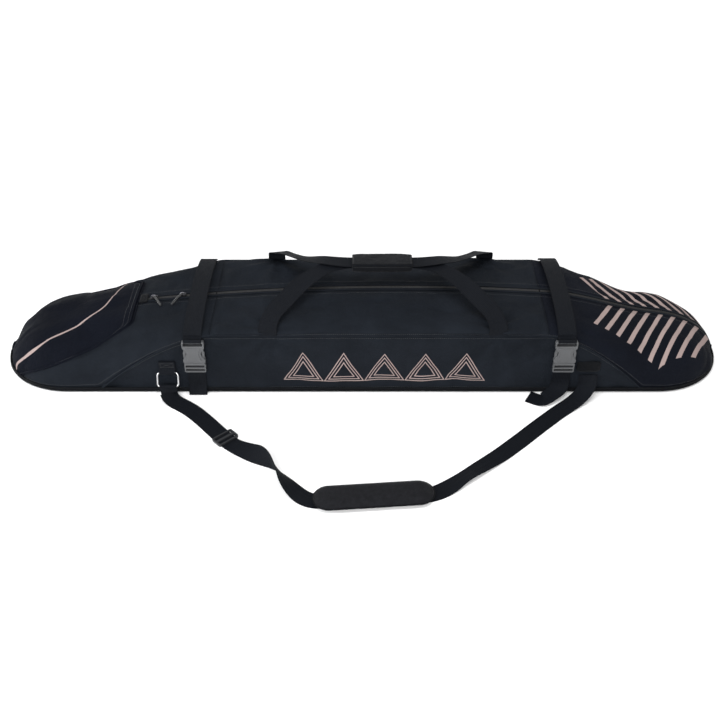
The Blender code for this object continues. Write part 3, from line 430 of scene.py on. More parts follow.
def seam_height(x):
    straight, foot = TAIL_SEAM_STRAIGHT, TAIL_SEAM_FOOT
    if x > 0:
        straight, foot = NOSE_SEAM_STRAIGHT, NOSE_SEAM_FOOT
    dive = clamp((straight - inset(x)) / (straight - foot))
    return FLOOR_OF_WALLS + (SEAM_HEIGHT - FLOOR_OF_WALLS) * (1 - dive ** SEAM_DIVE_POWER)


def skin(x, t, depth=0.0, slot=0.0):
    """A point of the shell: t is -2 at the front base edge, -1 at its seam, 0 at the zip."""
    side = math.copysign(1, t)
    end = clamp(1 - inset(x) / END_ROUND)
    width = half_width(x) - depth
    seam = max(seam_height(x) - depth, FLOOR_OF_WALLS)
    x_in = x - math.copysign(depth * end, x)
    if abs(t) > 1:
        return Vector((x_in, side * width, FLOOR_OF_WALLS + (seam - FLOOR_OF_WALLS) * (2 - abs(t))))
    angle = (1 - abs(t)) * math.pi / 2
    reach = slot + max(width - slot, 0.0) * abs(math.cos(angle)) ** CROWN_POWER
    if abs(t) < 1e-6:
        reach = slot
    rise = math.sin(angle) ** CROWN_POWER
    return Vector((x_in, side * reach, seam + (zip_height(x) - depth - seam) * rise))


def cap_edge(t):
    spread = smooth((abs(t) - 0.26) / 0.7)
    return -HALF_LENGTH + CAP_TOP - (CAP_TOP - CAP_FOOT) * spread


def lifted(x, t, distance):
    """A point that stands off the shell's surface, measured square to it."""
    step = 1e-4
    along = skin(x + step, t) - skin(x - step, t)
    around = skin(x, t + step) - skin(x, t - step)
    return skin(x, t) + along.cross(around).normalized() * distance


# ---------------------------------------------------------------- mesh helpers
def put_in_scene(name, mesh):
    piece = bpy.data.objects.new(name, mesh)
    bpy.context.collection.objects.link(piece)
    return piece


def add_mesh(name, vertices, faces, materials, uvs=None, angle=40):
    """A piece from points and faces, smooth except where it turns by more than the angle."""
    mesh = bpy.data.meshes.new(name)
    mesh.from_pydata([tuple(v) for v in vertices], [], faces)
    if uvs is not None:
        layer = mesh.uv_layers.new(name="UVMap")
        for loop in mesh.loops:
            layer.data[loop.index].uv = uvs[loop.vertex_index]
    work = bmesh.new()
    work.from_mesh(mesh)
    bmesh.ops.recalc_face_normals(work, faces=work.faces[:])
    work.to_mesh(mesh)
    work.free()
    mesh.shade_smooth()
    mesh.set_sharp_from_angle(angle=math.radians(angle))
    for material in materials:
        mesh.materials.append(material)
    return put_in_scene(name, mesh)


def grid_faces(rows, wide, start=0):
    """Quads between rows + 1 lines of wide + 1 points each."""
    step = wide + 1
    faces = []
    for i in range(rows):
        for j in range(wide):
            here = start + i * step + j
            faces.append([here, here + 1, here + step + 1, here + step])
    return faces


def hoop_faces(hoops, ring, start=0, closed=False):
    """Quads that join each hoop of points to the next, and end caps where the line is open."""
    faces = []
    for i in range(hoops if closed else hoops - 1):
        here, ahead = start + i * ring, start + (i + 1) % hoops * ring
        for k in range(ring):
            n = (k + 1) % ring
            faces.append([here + k, here + n, ahead + n, ahead + k])
    if not closed:
        faces += [[start + end + k for k in range(ring)] for end in (0, (hoops - 1) * ring)]
    return faces


def spaced_loop(corners, spacing):
    """A closed loop of points, with more of them put in where its sides are long."""
    full = []
    for i, corner in enumerate(corners):
        ahead = corners[(i + 1) % len(corners)]
        pieces = max(1, round((ahead - corner).length / spacing))
        full += [corner.lerp(ahead, k / pieces) for k in range(pieces)]
    return full


def thicken(piece, thickness, offset=0):
    """Gives a sheet of cloth its thickness."""
    layer = piece.modifiers.new("thickness", "SOLIDIFY")
    layer.thickness, layer.offset = thickness, offset
    return layer


def soften(piece):
    smoother = piece.modifiers.new("soften", "SUBSURF")
    smoother.levels = smoother.render_levels = 1


def break_edges(piece, width, segments):
    edges = piece.modifiers.new("soft_edges", "BEVEL")
    edges.width, edges.segments = width, segments
    edges.limit_method = "ANGLE"
    edges.angle_limit = math.radians(35)


def settle_as_cloth(piece, pins, frames, pressure, **settings):
    """Where the points of a pinned cloth come to rest under its own pressure."""
    group = piece.vertex_groups.new(name="pins")
    for index, weight in pins:
        group.add([index], weight, "REPLACE")
    modifier = piece.modifiers.new("cloth", "CLOTH")
    modifier.collision_settings.use_collision = False
    cloth = modifier.settings
    cloth.vertex_group_mass = "pins"
    cloth.use_pressure = True
    cloth.uniform_pressure_force = pressure
    cloth.effector_weights.gravity = 0
    for name, value in settings.items():
        setattr(cloth, name, value)
    for moment in range(1, frames + 1):
        bpy.context.scene.frame_set(moment)
    shaped = piece.evaluated_get(bpy.context.evaluated_depsgraph_get())
    points = np.array([tuple(v.co) for v in shaped.to_mesh().vertices])
    shaped.to_mesh_clear()
    bpy.context.scene.frame_set(1)
    return points


def at_most(shift, most):
    """Shortens each shift that is longer than the most allowed."""
    size = np.linalg.norm(shift, axis=-1, keepdims=True)
    return shift * np.minimum(1, most / np.maximum(size, 1e-9))


def settle(piece, body, slot, *nodes):
    """The piece rides on a body and stands for CAD nodes. The slot is not used."""
    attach(piece, body)
    if nodes:
        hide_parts(*nodes)
    return piece


def spline_point(points, position):
    last = len(points) - 1
    i = min(int(position), last - 1)
    f = position - i
    b, c = points[i], points[i + 1]
    a = points[i - 1] if i > 0 else b * 2 - c
    d = points[i + 2] if i + 2 <= last else c * 2 - b
    return (b * 2 + (c - a) * f + (a * 2 - b * 5 + c * 4 - d) * f ** 2
            + (b * 3 - a - c * 3 + d) * f ** 3) * 0.5


def web_frames(points, sides, fine):
    """Evenly fine stations along a web: centre, tangent, side and normal of each."""
    points, sides = [Vector(p) for p in points], [Vector(s) for s in sides]
    count = (len(points) - 1) * fine + 1
    line = [spline_point(points, i / fine) for i in range(count)]
    across = [spline_point(sides, i / fine) for i in range(count)]
    frames = []
    for i, centre in enumerate(line):
        tangent = (line[min(i + 1, count - 1)] - line[max(i - 1, 0)]).normalized()
        side = (across[i] - tangent * across[i].dot(tangent)).normalized()
        frames.append((centre, tangent, side, tangent.cross(side)))
    return frames


def web_section(width, thick):
    """Outline of flat webbing: thin, with rounded edges and slightly raised borders."""
    half, t = width / 2, thick / 2
    top = [(half, 0), (half - 0.0004, 0.75 * t), (half - 0.0016, t), (half - 0.0034, 0.86 * t),
           (half * 0.5, 0.84 * t), (0, 0.84 * t)]
    top += [(-u, v) for u, v in reversed(top[:-1])]
    return top + [(u, -v) for u, v in reversed(top[1:-1])]


def sweep(frames, section, lift=0.0, start=0):
    """Vertices, faces and flat coordinates of a section drawn along the frames."""
    vertices, uvs = [], []
    travel, last = 0.0, frames[0][0]
    for centre, _, side, normal in frames:
        travel += (centre - last).length
        last = centre
        for u, v in section:
            vertices.append(centre + side * u + normal * (v + lift))
            uvs.append((travel, u))
    return vertices, hoop_faces(len(frames), len(section), start), uvs


def swept(name, frames, section, material, angle=50):
    vertices, faces, uvs = sweep(frames, section)
    return add_mesh(name, vertices, faces, [material], uvs, angle)


def web(name, points, sides, material, body, nodes, fine=6, width=WEB_WIDTH, thick=0.0018):
    """Flat webbing through a line of points, with the direction of its width at each."""
    piece = swept(name, web_frames(points, sides, fine), web_section(width, thick), material)
    return settle(piece, body, "webbing", *nodes)


def tube(name, points, radius, material, sides=8, flat=1.0):
    """A round welt or cord along a line of points."""
    points = [Vector(p) for p in points]
    turns = [2 * math.pi * k / sides for k in range(sides)]
    section = [(radius * math.cos(a), flat * radius * math.sin(a)) for a in turns]
    frames = []
    for i, centre in enumerate(points):
        tangent = (points[min(i + 1, len(points) - 1)] - points[max(i - 1, 0)]).normalized()
        side = tangent.cross(Z_AXIS)
        if side.length < 0.2:
            side = tangent.cross(Y_AXIS)
        side.normalize()
        frames.append((centre, tangent, side, tangent.cross(side)))
    return swept(name, frames, section, material, 60)


STITCH_POINTS = ((-0.5, 0, 0), (-0.25, 1, 0.2), (-0.25, -1, 0.2), (-0.25, 0, 1),
                 (0.25, 1, 0.2), (0.25, -1, 0.2), (0.25, 0, 1), (0.5, 0, 0))
STITCH_FACES = ((0, 1, 3), (0, 3, 2), (0, 2, 1), (1, 4, 6, 3), (3, 6, 5, 2), (2, 5, 4, 1),
                (4, 7, 6), (6, 7, 5), (5, 7, 4))


def stitches(name, lines, material, pitch=0.0042, length=0.0028, thick=0.0004, lift=0.0003):
    """Rows of short thread stitches. Each line is a list of (point, outward normal)."""
    vertices, faces = [], []
    for line in lines:
        travel = 0.0
        for (a, up_a), (b, up_b) in zip(line[:-1], line[1:]):
            run = (b - a).length
            direction = (b - a) / max(run, 1e-9)
            while travel < run:
                up = up_a.lerp(up_b, travel / run).normalized()
                centre = a + direction * travel + up * lift
                side = direction.cross(up).normalized()
                start = len(vertices)
                for along, wide, high in STITCH_POINTS:
                    vertices.append(centre + direction * along * length
                                    + side * wide * thick + up * high * thick)
                faces += [[start + k for k in face] for face in STITCH_FACES]
                travel += pitch
            travel -= run
    return add_mesh(name, vertices, faces, [material], None, 80)


# ---------------------------------------------------------------- cloth shell
class Panel:
    """A grid of cloth between its seams, as (rows, columns) points of the shell."""

    def __init__(self, name, ts, span, rows, slot=0.0):
        self.name, self.ts, self.rows = name, ts, rows
        self.points = np.array([[tuple(skin(span(t, i / rows), t, 0.0, slot)) for t in ts]
                                for i in range(rows + 1)])

    def faces(self, start=0):
        return grid_faces(self.rows, len(self.ts) - 1, start)

    def hold(self):
        """How freely each point may move: 0 in the seams and under straps, 1 in the middle."""
        x = self.points[:, :, 0]
        free = np.ones(x.shape)
        i = np.arange(x.shape[0])[:, None]
        j = np.arange(x.shape[1])[None, :]
        to_edge = np.minimum(np.minimum(i, x.shape[0] - 1 - i), np.minimum(j, x.shape[1] - 1 - j))
        free *= np.clip(to_edge / 2, 0, 1)
        pressed, eases_over, under_strap = 0.012, 0.03, 0.12
        for strap in (TAIL_STRAP_X, NOSE_STRAP_X):
            free *= np.clip((np.abs(x - strap) - pressed) / eases_over, under_strap, 1)
        return free


def grow_ts(side, count):
    return [side * max(1 - i / count, 1e-7) for i in range(count + 1)]


def shell_panels():
    """The shell's cloth: two flaps, two tail, two nose and two wall panels, and the tail cap."""
    def flap(t, s):
        return FLAP_TAIL_X + (FLAP_NOSE_X - FLAP_TAIL_X) * s

    def tail(t, s):
        start = cap_edge(t) + GAP
        return start + (FLAP_TAIL_X - GAP - start) * s

    def nose(t, s):
        return FLAP_NOSE_X + GAP + (HALF_LENGTH - FLAP_NOSE_X - GAP) * (1 - (1 - s) ** 1.5)

    def cap(t, s):
        return -HALF_LENGTH + (cap_edge(t) + HALF_LENGTH) * s ** 1.5

    def wall(t, s):
        return WALL_START + WALL_LENGTH * s

    slot = ZIP_SLOT / 2
    panels = {}
    for name, side in (("front", -1), ("rear", 1)):
        for part, span, rows in (("flap", flap, 104), ("tail", tail, 44), ("nose", nose, 60)):
            panels[f"{name}_{part}"] = Panel(f"{name}_{part}_cloth", grow_ts(side, 24), span, rows,
                                             slot)
        ts = [side * (2 - i / 20) for i in range(20)] + [side * 1.0000001]
        panels[f"{name}_wall"] = Panel(f"{name}_wall_cloth", ts, wall, 160)
    ts = [-t for t in grow_ts(1, 24)] + grow_ts(1, 24)[-2::-1]
    panels["cap"] = Panel("tail_cap_cloth", ts, cap, 44)
    round_tip(panels["cap"])
    return panels


def round_tip(panel):
    """Keeps the cap's columns apart at the tip, so that the cloth there is blunt, not a point."""
    flat = 0.02
    for j, t in enumerate(panel.ts):
        least = flat * max(0.0, math.cos((1 - abs(t)) * math.pi / 2))
        for i in range(panel.rows + 1):
            y = panel.points[i, j, 1]
            if abs(t) > 1e-6 and abs(y) < least:
                panel.points[i, j, 1] = math.copysign(least, t)


FOLD_HEIGHTS = (0.006, 0.0056, 0.0036, 0.0034, 0.0042)  # gathers, long folds, slack, creases, pull


def pucker(panel):
    """Small gathers that run into the seams, fading towards the middle of each panel."""
    wide = len(panel.ts)
    shift = np.zeros(panel.points.shape[:2])
    for i in range(panel.rows + 1):
        for j in range(wide):
            x, y, z = panel.points[i, j]
            near = min(j, wide - 1 - j) / wide
            gather = noise.noise(Vector((x * 34, near * 2.2, y * 3 + 5))) * math.exp(-near * 6)
            long_fold = noise.noise(Vector((x * 9 + y * 7 + 3, y * 16 - x * 3, z * 16)))
            slack = noise.noise(Vector((x * 3.2, y * 5, z * 5 + 9)))
            crease = 1 - abs(noise.noise(Vector((x * 7 - y * 9 + 2, y * 11 + x * 4, z * 9)))) * 5
            folds = (gather, long_fold, slack, -max(crease, 0.0), drape_lines(x, y, z))
            shift[i, j] = sum(height * fold for height, fold in zip(FOLD_HEIGHTS, folds))
    return shift


def drape_lines(x, y, z):
    """Long shallow folds that fan out from where the straps and handles pull on the cloth."""
    total, folds, fades_over = 0.0, 9, 0.07
    for anchor in (TAIL_STRAP_X, HANDLE_TAIL_X, HANDLE_NOSE_X, NOSE_STRAP_X):
        dx, dz = x - anchor, abs(y) - HALF_WIDTH + z - SEAM_HEIGHT
        reach = math.hypot(dx, dz)
        fan = math.atan2(dz, dx)
        fold = math.sin(fan * folds + anchor * 40)
        total += fold * math.exp(-reach / fades_over) * clamp(reach / 0.02)
    return total


def normals_of(points):
    """Unit normals of a grid of points, all facing out of the bag."""
    along = np.gradient(points, axis=0)
    around = np.gradient(points, axis=1)
    normal = np.cross(along, around)
    length = np.linalg.norm(normal, axis=2, keepdims=True)
    normal /= np.maximum(length, 1e-12)
    outward = points - np.array(BAG_MIDDLE)
    outward[:, :, 0] *= LENGTH_WEIGHT
    sign = np.sign((normal * outward).sum(axis=2, keepdims=True))
    return normal * np.where(sign == 0, 1, sign)


def relax_as_cloth(panels):
    """Lets the cloth between the seams settle over its padding, cut a little too large."""
    order = list(panels.values())
    vertices, faces, pins = [], [], []
    for panel in order:
        start = len(vertices)
        free = panel.hold()
        shaped = panel.points + normals_of(panel.points) * (pucker(panel) * free)[:, :, None]
        vertices += [tuple(p) for p in shaped.reshape(-1, 3)]
        faces += panel.faces(start)
        pins += list(1 - np.clip(free.reshape(-1) * 1.4, 0, 1))
    mesh = bpy.data.meshes.new("cloth_rig")
    mesh.from_pydata(vertices, [], faces)
    rig = put_in_scene("cloth_rig", mesh)
    settled = settle_as_cloth(
        rig, enumerate(pins), frames=22, pressure=0.12, quality=4, mass=0.25, shrink_min=-0.022,
        tension_stiffness=14, compression_stiffness=14, shear_stiffness=6, bending_stiffness=0.35,
        pin_stiffness=1.0)
    bpy.data.objects.remove(rig)
    return settled


def sew_shell(panels, cloths, lining):
    """Turns each settled panel into padded cloth with a lining, on the body that carries it."""
    settled = relax_as_cloth(panels)
    start = 0
    carriers = {"cap": ("shell", "tail_cap")}
    for side in ("front", "rear"):
        carriers[f"{side}_flap"] = (f"{side}_flap", f"{side}_top_flap")
        carriers[f"{side}_wall"] = ("shell", f"{side}_side_wall")
        for end in ("tail", "nose"):
            carriers[f"{side}_{end}"] = ("shell", f"{side}_{end}_panel")
    for key, panel in panels.items():
        count = panel.points.shape[0] * panel.points.shape[1]
        moved = settled[start:start + count].reshape(panel.points.shape)
        start += count
        final = panel.points + at_most(moved - panel.points, MOST_DRAPE) * panel.hold()[:, :, None]
        final[:, :, 2] = np.maximum(final[:, :, 2], FLOOR_OF_WALLS - 0.003)
        panel.final = final
        body, node = carriers[key]
        if "wall" in key:
            uvs = [(x - WALL_START, z - FLOOR_OF_WALLS) for x, _, z in panel.points.reshape(-1, 3)]
        else:
            uvs = flat_coordinates(panel.points)
        piece = add_mesh(panel.name, final.reshape(-1, 3), panel.faces(), [cloths[key], lining],
                         uvs, 180)
        face_outward(piece)
        pad = thicken(piece, CLOTH, -1)
        pad.material_offset = 1
        pad.material_offset_rim = 0
        slot = "cap_fabric" if key == "cap" else "shell_fabric"
        settle(piece, body, slot, node)


def flat_coordinates(points):
    """Distances along the grid, so that the weave keeps its size over the whole panel."""
    u, v = np.zeros(points.shape[:2]), np.zeros(points.shape[:2])
    u[1:] = np.cumsum(np.linalg.norm(np.diff(points, axis=0), axis=2), axis=0)
    v[:, 1:] = np.cumsum(np.linalg.norm(np.diff(points, axis=1), axis=2), axis=1)
    return list(zip(u.reshape(-1), v.reshape(-1)))


def face_outward(piece):
    """The cloth's outer face looks away from the middle of the bag."""
    work = bmesh.new()
    work.from_mesh(piece.data)
    total = 0.0
    for face in work.faces:
        away = face.calc_center_median() - Vector(BAG_MIDDLE)
        away.x *= LENGTH_WEIGHT
        total += face.normal.dot(away) * face.calc_area()
    if total < 0:
        bmesh.ops.reverse_faces(work, faces=work.faces[:])
    work.to_mesh(piece.data)
    work.free()


# ---------------------------------------------------------------- seams and trims
def panel_line(panel, column=None, row=None):
    """Points and outward normals along one column or row of a settled panel."""
    normal = normals_of(panel.final)
    take = (slice(None), column) if row is None else (row, slice(None))
    return [(Vector(p), Vector(n)) for p, n in zip(panel.final[take], normal[take])]


def ring_tube(name, points, radius, material, sides=8):
    """A closed round welt or wire through a loop of points."""
    points = [Vector(p) for p in points]
    count = len(points)
    middle = sum(points, Vector()) / count
    vertices, uvs, travel = [], [], 0.0
    for i, centre in enumerate(points):
        tangent = (points[(i + 1) % count] - points[i - 1]).normalized()
        out = centre - middle
        out = (out - tangent * out.dot(tangent)).normalized()
        up = tangent.cross(out)
        travel += (centre - points[i - 1]).length
        for k in range(sides):
            angle = 2 * math.pi * k / sides
            vertices.append(centre + (out * math.cos(angle) + up * math.sin(angle)) * radius)
            uvs.append((travel, radius * angle))
    return add_mesh(name, vertices, hoop_faces(count, sides, closed=True), [material], uvs, 60)


CAP_REACH = 0.985  # how far round the cap's welts run, where 1 is the side seam


def build_welts(panels, cloth, cap_cloth, thread):
    """Round welts and rows of stitches along the seams of the shell."""
    for name, side in (("front", -1), ("rear", 1)):
        start, length, steps, proud = -0.588, 1.214, 150, 0.0008
        xs = [start + length * i / steps for i in range(steps + 1)]
        welt = tube(f"{name}_side_welt", [lifted(x, side, proud) for x in xs], WELT_RADIUS, cloth)
        settle(welt, "shell", "shell_fabric")
        for part, body in (("flap", f"{name}_flap"), ("tail", "shell"), ("nose", "shell")):
            panel = panels[f"{name}_{part}"]
            lines = [panel_line(panel, column=1), panel_line(panel, column=-2)]
            last = -3 if part == "nose" else None
            row = stitches(f"{name}_{part}_stitches", [line[:last] for line in lines], thread)
            settle(row, body, "shell_fabric")
        wall = panels[f"{name}_wall"]
        lines = [panel_line(wall, column=1), panel_line(wall, column=-2)]
        settle(stitches(f"{name}_wall_stitches", lines, thread), "shell", "shell_fabric")
    for name, back, radius, nodes in (("tail_cap_welt", 0.0030, WELT_RADIUS, ["tail_cap_piping"]),
                                      ("tail_cap_edge_welt", -0.003, FINE_WELT_RADIUS, [])):
        ts = [CAP_REACH * (2 * i / 120 - 1) for i in range(121)]
        points = [lifted(cap_edge(t) - back, t, radius * 0.8) for t in ts]
        settle(tube(name, points, radius, cap_cloth), "shell", "piping", *nodes)
    cap = panels["cap"]
    rows = [panel_line(cap, row=-3), panel_line(cap, row=-2)]
    settle(stitches("tail_cap_stitches", rows, thread), "shell", "cap_fabric")


def base_outline(margin, z, steps=40):
    """The base's edge, pushed out by a margin."""
    loop = []
    for end in (1, -1):
        for i in range(steps + 1):
            angle = math.pi * (i / steps - 0.5)
            x = HALF_LENGTH - END_ROUND + (END_ROUND + margin) * math.cos(angle)
            loop.append(Vector((end * x, end * (HALF_WIDTH + margin) * math.sin(angle), z)))
    return spaced_loop(loop, 0.02)


def build_base_binding(cloth):
    """The bound edge of the base, and the piping above it."""
    for name, margin, height, radius in (("base_binding", 0.0004, 0.0056, 0.004),
                                         ("base_piping", 0.0016, 0.0112, 0.0018)):
        welt = ring_tube(name, base_outline(margin, height), radius, cloth)
        settle(welt, "shell", "base_fabric")


# ---------------------------------------------------------------- zip
def zip_stations(start, end, step=0.006):
    """Places along the zip, closer together towards the nose, where it bends most."""
    count = max(2, round((end - start) / step))
    return [start + (end - start) * (1 - (1 - i / count) ** 1.25) for i in range(count + 1)]


def zip_tangent(x, reach):
    """The zip's direction, taken over a reach to each side."""
    return Vector((2 * reach, 0, zip_height(x + reach) - zip_height(x - reach))).normalized()


def zip_frames(start, end, y, sink):
    """Stations along the zip for a strip of tape, sunk a little under its top."""
    frames, xs = [], zip_stations(start, end)
    for i, x in enumerate(xs):
        here = Vector((x, y, zip_height(x) - sink))
        ahead, behind = xs[min(i + 1, len(xs) - 1)], xs[max(i - 1, 0)]
        tangent = Vector((ahead - behind, 0, zip_height(ahead) - zip_height(behind))).normalized()
        frames.append((here, tangent, Y_AXIS, tangent.cross(Y_AXIS)))
    return frames


def build_zip_run(name, start, end, side, body, materials, nodes):
    """Half of one stretch of the zip: its tape, its coil and the fold of cloth beside it."""
    tape, teeth_finish, cloth = materials
    width = ZIP_SLOT / 2 - 0.0006
    frames = zip_frames(start, end, side * (width / 2 + 0.0004), 0.0016)
    strip = swept(f"{name}_tape", frames, web_section(width, 0.0014), tape)
    settle(strip, body, "zip_tape", *nodes)
    profile = [(0.0002, -0.001), (0.0002, 0.0008), (0.0009, 0.0015), (0.003, 0.0016),
               (0.004, 0.0008), (0.0042, -0.001)]
    vertices, faces = [], []
    pitch, half, steepest = 0.0026, 0.0008, 0.25
    x = start + 0.001
    while x < end - 0.0035:
        tangent = zip_tangent(x, 0.001)
        up = tangent.cross(Y_AXIS)
        base = Vector((x, 0, zip_height(x) - 0.0008))
        first = len(vertices)
        for along in (-half, half):
            for y, z in profile:
                vertices.append(base + tangent * along + Y_AXIS * side * y + up * z)
        faces += hoop_faces(2, len(profile), first)
        x += pitch * max(steepest, tangent.x)
    settle(add_mesh(f"{name}_coil", vertices, faces, [teeth_finish], None, 30), body, "zip_tape")
    fold = [skin(x, side * 0.0036, -0.0004, ZIP_SLOT / 2 - 0.001) for x in zip_stations(start, end)]
    frames = web_frames(fold, [Y_AXIS] * len(fold), 1)
    settle(swept(f"{name}_placket", frames, web_section(0.0062, 0.0022), cloth, 60),
           body, "shell_fabric")


def build_zip(materials):
    """The zip in three stretches, each in two halves: one half on each flap between the straps."""
    for name, side in (("front", -1), ("rear", 1)):
        build_zip_run(f"{name}_zip", FLAP_TAIL_X, FLAP_NOSE_X, side, f"{name}_flap", materials,
                      [f"{name}_zip_half"])
        for end, start, stop in (("tail", cap_edge(0) + 0.0022, FLAP_TAIL_X - GAP),
                                 ("nose", FLAP_NOSE_X + GAP, HALF_LENGTH - 0.0008)):
            build_zip_run(f"{name}_{end}_zip", start, stop, side, "shell", materials,
                          [f"{end}_zip"] if side < 0 else [])


def slider_frame(place):
    """Where a slider sits on the zip: its base, the zip's direction and the way up."""
    x = SLIDER_START + place
    along = zip_tangent(x, 0.01)
    return Vector((x, 0, zip_height(x))), along, along.cross(Y_AXIS)


def build_sliders(steel, rope, tip_finish):
    """Bridges over the sliders' plates, and a twisted rope pull on each."""
    pull_length, pull_turns, strand_radius, sag = 0.038, 5.5, 0.00125, 0.0042
    for letter, place, lean in (("a", 0.0, 1), ("b", 0.066, -1)):
        base, along, up = slider_frame(place)
        angles = [math.pi * i / 12 for i in range(13)]
        arch = [base + along * 0.006 * math.cos(a) + up * (0.004 + 0.0042 * math.sin(a))
                for a in angles]
        bridge = tube(f"zip_slider_{letter}_bridge", arch, 0.0011, steel, 8, 1.5)
        settle(bridge, f"slider_{letter}", "slider_metal")
        pivot = base + up * 0.0066
        swing = math.radians(60)
        out = (along * lean * math.cos(swing) - Y_AXIS * math.sin(swing)).normalized()
        side = up.cross(out)
        shares = [i / 60 for i in range(61)]
        line = [pivot + out * (0.0008 + pull_length * share)
                + up * (0.0008 * math.sin(math.pi * share) - sag * share ** 2)
                for share in shares]
        for phase in (0, math.pi):
            strand = []
            for i, centre in enumerate(line):
                turn = phase + 2 * math.pi * pull_turns * shares[i]
                wide = 0.00135 * smooth(i / 6)
                strand.append(centre + side * wide * math.cos(turn) + up * wide * math.sin(turn))
            piece = tube(f"zip_pull_{letter}_strand", strand, strand_radius, rope)
            settle(piece, f"pull_{letter}", "pull_cord")
        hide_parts(f"zip_pull_{letter}")
        knot = [line[-1] + out * (0.0045 * (i / 10) - 0.001) for i in range(11)]
        radii = [0.0016, 0.0024, 0.0027, 0.0027, 0.0026, 0.0026, 0.0026, 0.0027, 0.0026, 0.002,
                 0.0009]
        tip = turned(f"zip_pull_{letter}_end", knot, radii, tip_finish)
        settle(tip, f"pull_{letter}", "pull_cord")


def turned(name, points, radii, material, sides=12):
    """A round piece whose radius changes along its line."""
    tangent = (points[-1] - points[0]).normalized()
    side = tangent.cross(Z_AXIS).normalized()
    up = tangent.cross(side)
    angles = [2 * math.pi * k / sides for k in range(sides)]
    vertices = [centre + (side * math.cos(a) + up * math.sin(a)) * radius
                for centre, radius in zip(points, radii) for a in angles]
    return add_mesh(name, vertices, hoop_faces(len(points), sides), [material], None, 60)


# ---------------------------------------------------------------- webs
def web_front():
    """The middle of the webs that lie against the front wall."""
    return -(HALF_WIDTH + PLAY + WEB_THICK / 2)


def buckle_middle():
    return web_front() - WEB_THICK / 2 - PLAY - BUCKLE_THICK / 2


def strap_side():
    """The middle of the upper webs where they hang past the side seams."""
    return HALF_WIDTH + 2 * PLAY + WEB_THICK / 2


def box_stitch(name, centre, along, across, length, width, body, slot, thread, lift=0.0012):
    """A sewn rectangle with a cross in it, as on every load-bearing web end."""
    up = along.cross(across).normalized()
    corners = [centre + along * a * length / 2 + across * b * width / 2
               for a, b in ((-1, -1), (1, -1), (1, 1), (-1, 1))]
    lines = [[(c, up) for c in (*corners, corners[0])]]
    lines += [[(corners[0], up), (corners[2], up)], [(corners[1], up), (corners[3], up)]]
    return settle(stitches(name, lines, thread, 0.0034, 0.0024, 0.00035, lift), body, slot)


def build_compression_straps(web_finish, thread):
    bar = BUCKLE_FOOT + PLUG_HEIGHT + SOCKET_HEIGHT - BAR_HEIGHT / 2
    front = buckle_middle()
    turn = BAR_HEIGHT * 0.71 + WEB_THICK / 2 + PLAY
    for end, x in (("tail", TAIL_STRAP_X), ("nose", NOSE_STRAP_X)):
        inner_edge = x - math.copysign(WEB_WIDTH / 2, x)
        points = []
        for t in (1.0, 0.9, 0.78, 0.6, 0.42, 0.22, 0.0, -0.22, -0.42, -0.6, -0.78, -0.9):
            point = skin(inner_edge, t, -WEB_THICK / 2 - 2 * PLAY)
            bow = 0.013 * (1 - abs(point.y / HALF_WIDTH) ** 2.2)
            points.append((x, point.y, point.z + 0.002 + bow))
        points += [
            (x, -strap_side(), SEAM_HEIGHT - 0.002),
            (x, front + turn - 0.0015, bar + 0.006), (x, front + turn, bar + 0.0015),
            (x, front + turn * 0.75, bar - turn * 0.66), (x, front, bar - turn),
            (x, front - turn * 0.75, bar - turn * 0.66), (x, front - turn, bar + 0.0015),
            (x, front - turn - 0.0004, bar + 0.01),
        ]
        web(f"{end}_compression_web", points, [X_AXIS] * len(points), web_finish,
            f"{end}_strap", [f"{end}_top_strap"])
        y = -web_front()
        top = seam_height(inner_edge) - 0.004
        points = [(x, y, top * share) for share in (0.35, 0.55, 0.75, 1.0)]
        web(f"{end}_rear_web", points, [X_AXIS] * 4, web_finish, "shell", [f"{end}_strap_anchor"])
        box_stitch(f"{end}_rear_box", Vector((x, y, top * 0.52)), Z_AXIS, X_AXIS, 0.026, 0.03,
                   "shell", "webbing", thread)
    build_lower_webs(web_finish)


def build_lower_webs(web_finish):
    """The webs that carry the plugs. The nose one has slack, which loops out over the floor."""
    y, x = web_front(), TAIL_STRAP_X
    top = BUCKLE_FOOT + PLUG_HEIGHT + 0.006
    points = [(x, y + 0.0002, 0.0072), (x, y - 0.0075, 0.0016), (x, y - 0.0125, 0.003),
              (x, y - 0.0085, 0.012), (x, y - 0.0012, 0.022), (x, y, 0.034), (x, y, 0.06),
              (x, y, top)]
    web("tail_lower_web", points, [X_AXIS] * len(points), web_finish, "shell", ["tail_lower_strap"])
    x = NOSE_STRAP_X
    slack = [
        (-0.072, -0.0185, 0.0022, 0.56, 0.83), (-0.061, -0.0245, 0.0014, 0.52, 0.85),
        (-0.05, -0.031, 0.002, 0.4, 0.92), (-0.041, -0.0335, 0.0045, -0.08, 0.99),
        (-0.032, -0.03, 0.0085, -0.45, 0.89), (-0.016, -0.019, 0.0145, -0.72, 0.69),
        (-0.004, -0.0095, 0.0235, -0.975, 0.22), (0.0, -0.0018, 0.0345, -1.0, 0.0),
    ]
    points = [(x + dx, y + dy, z) for dx, dy, z, _, _ in slack]
    points += [(x, y, 0.046), (x, y, 0.062), (x, y, top)]
    sides = [Vector((u, v, 0)) for _, _, _, u, v in slack] + [-X_AXIS] * 3
    web("nose_lower_web", points, sides, web_finish, "shell", ["nose_lower_strap"])


def handle_axis(side):
    """The line a handle swings about, through its two stitched ends."""
    return Vector((0, side * (HALF_WIDTH + PLAY + WEB_THICK), SEAM_HEIGHT + 2.1 * WEB_THICK))


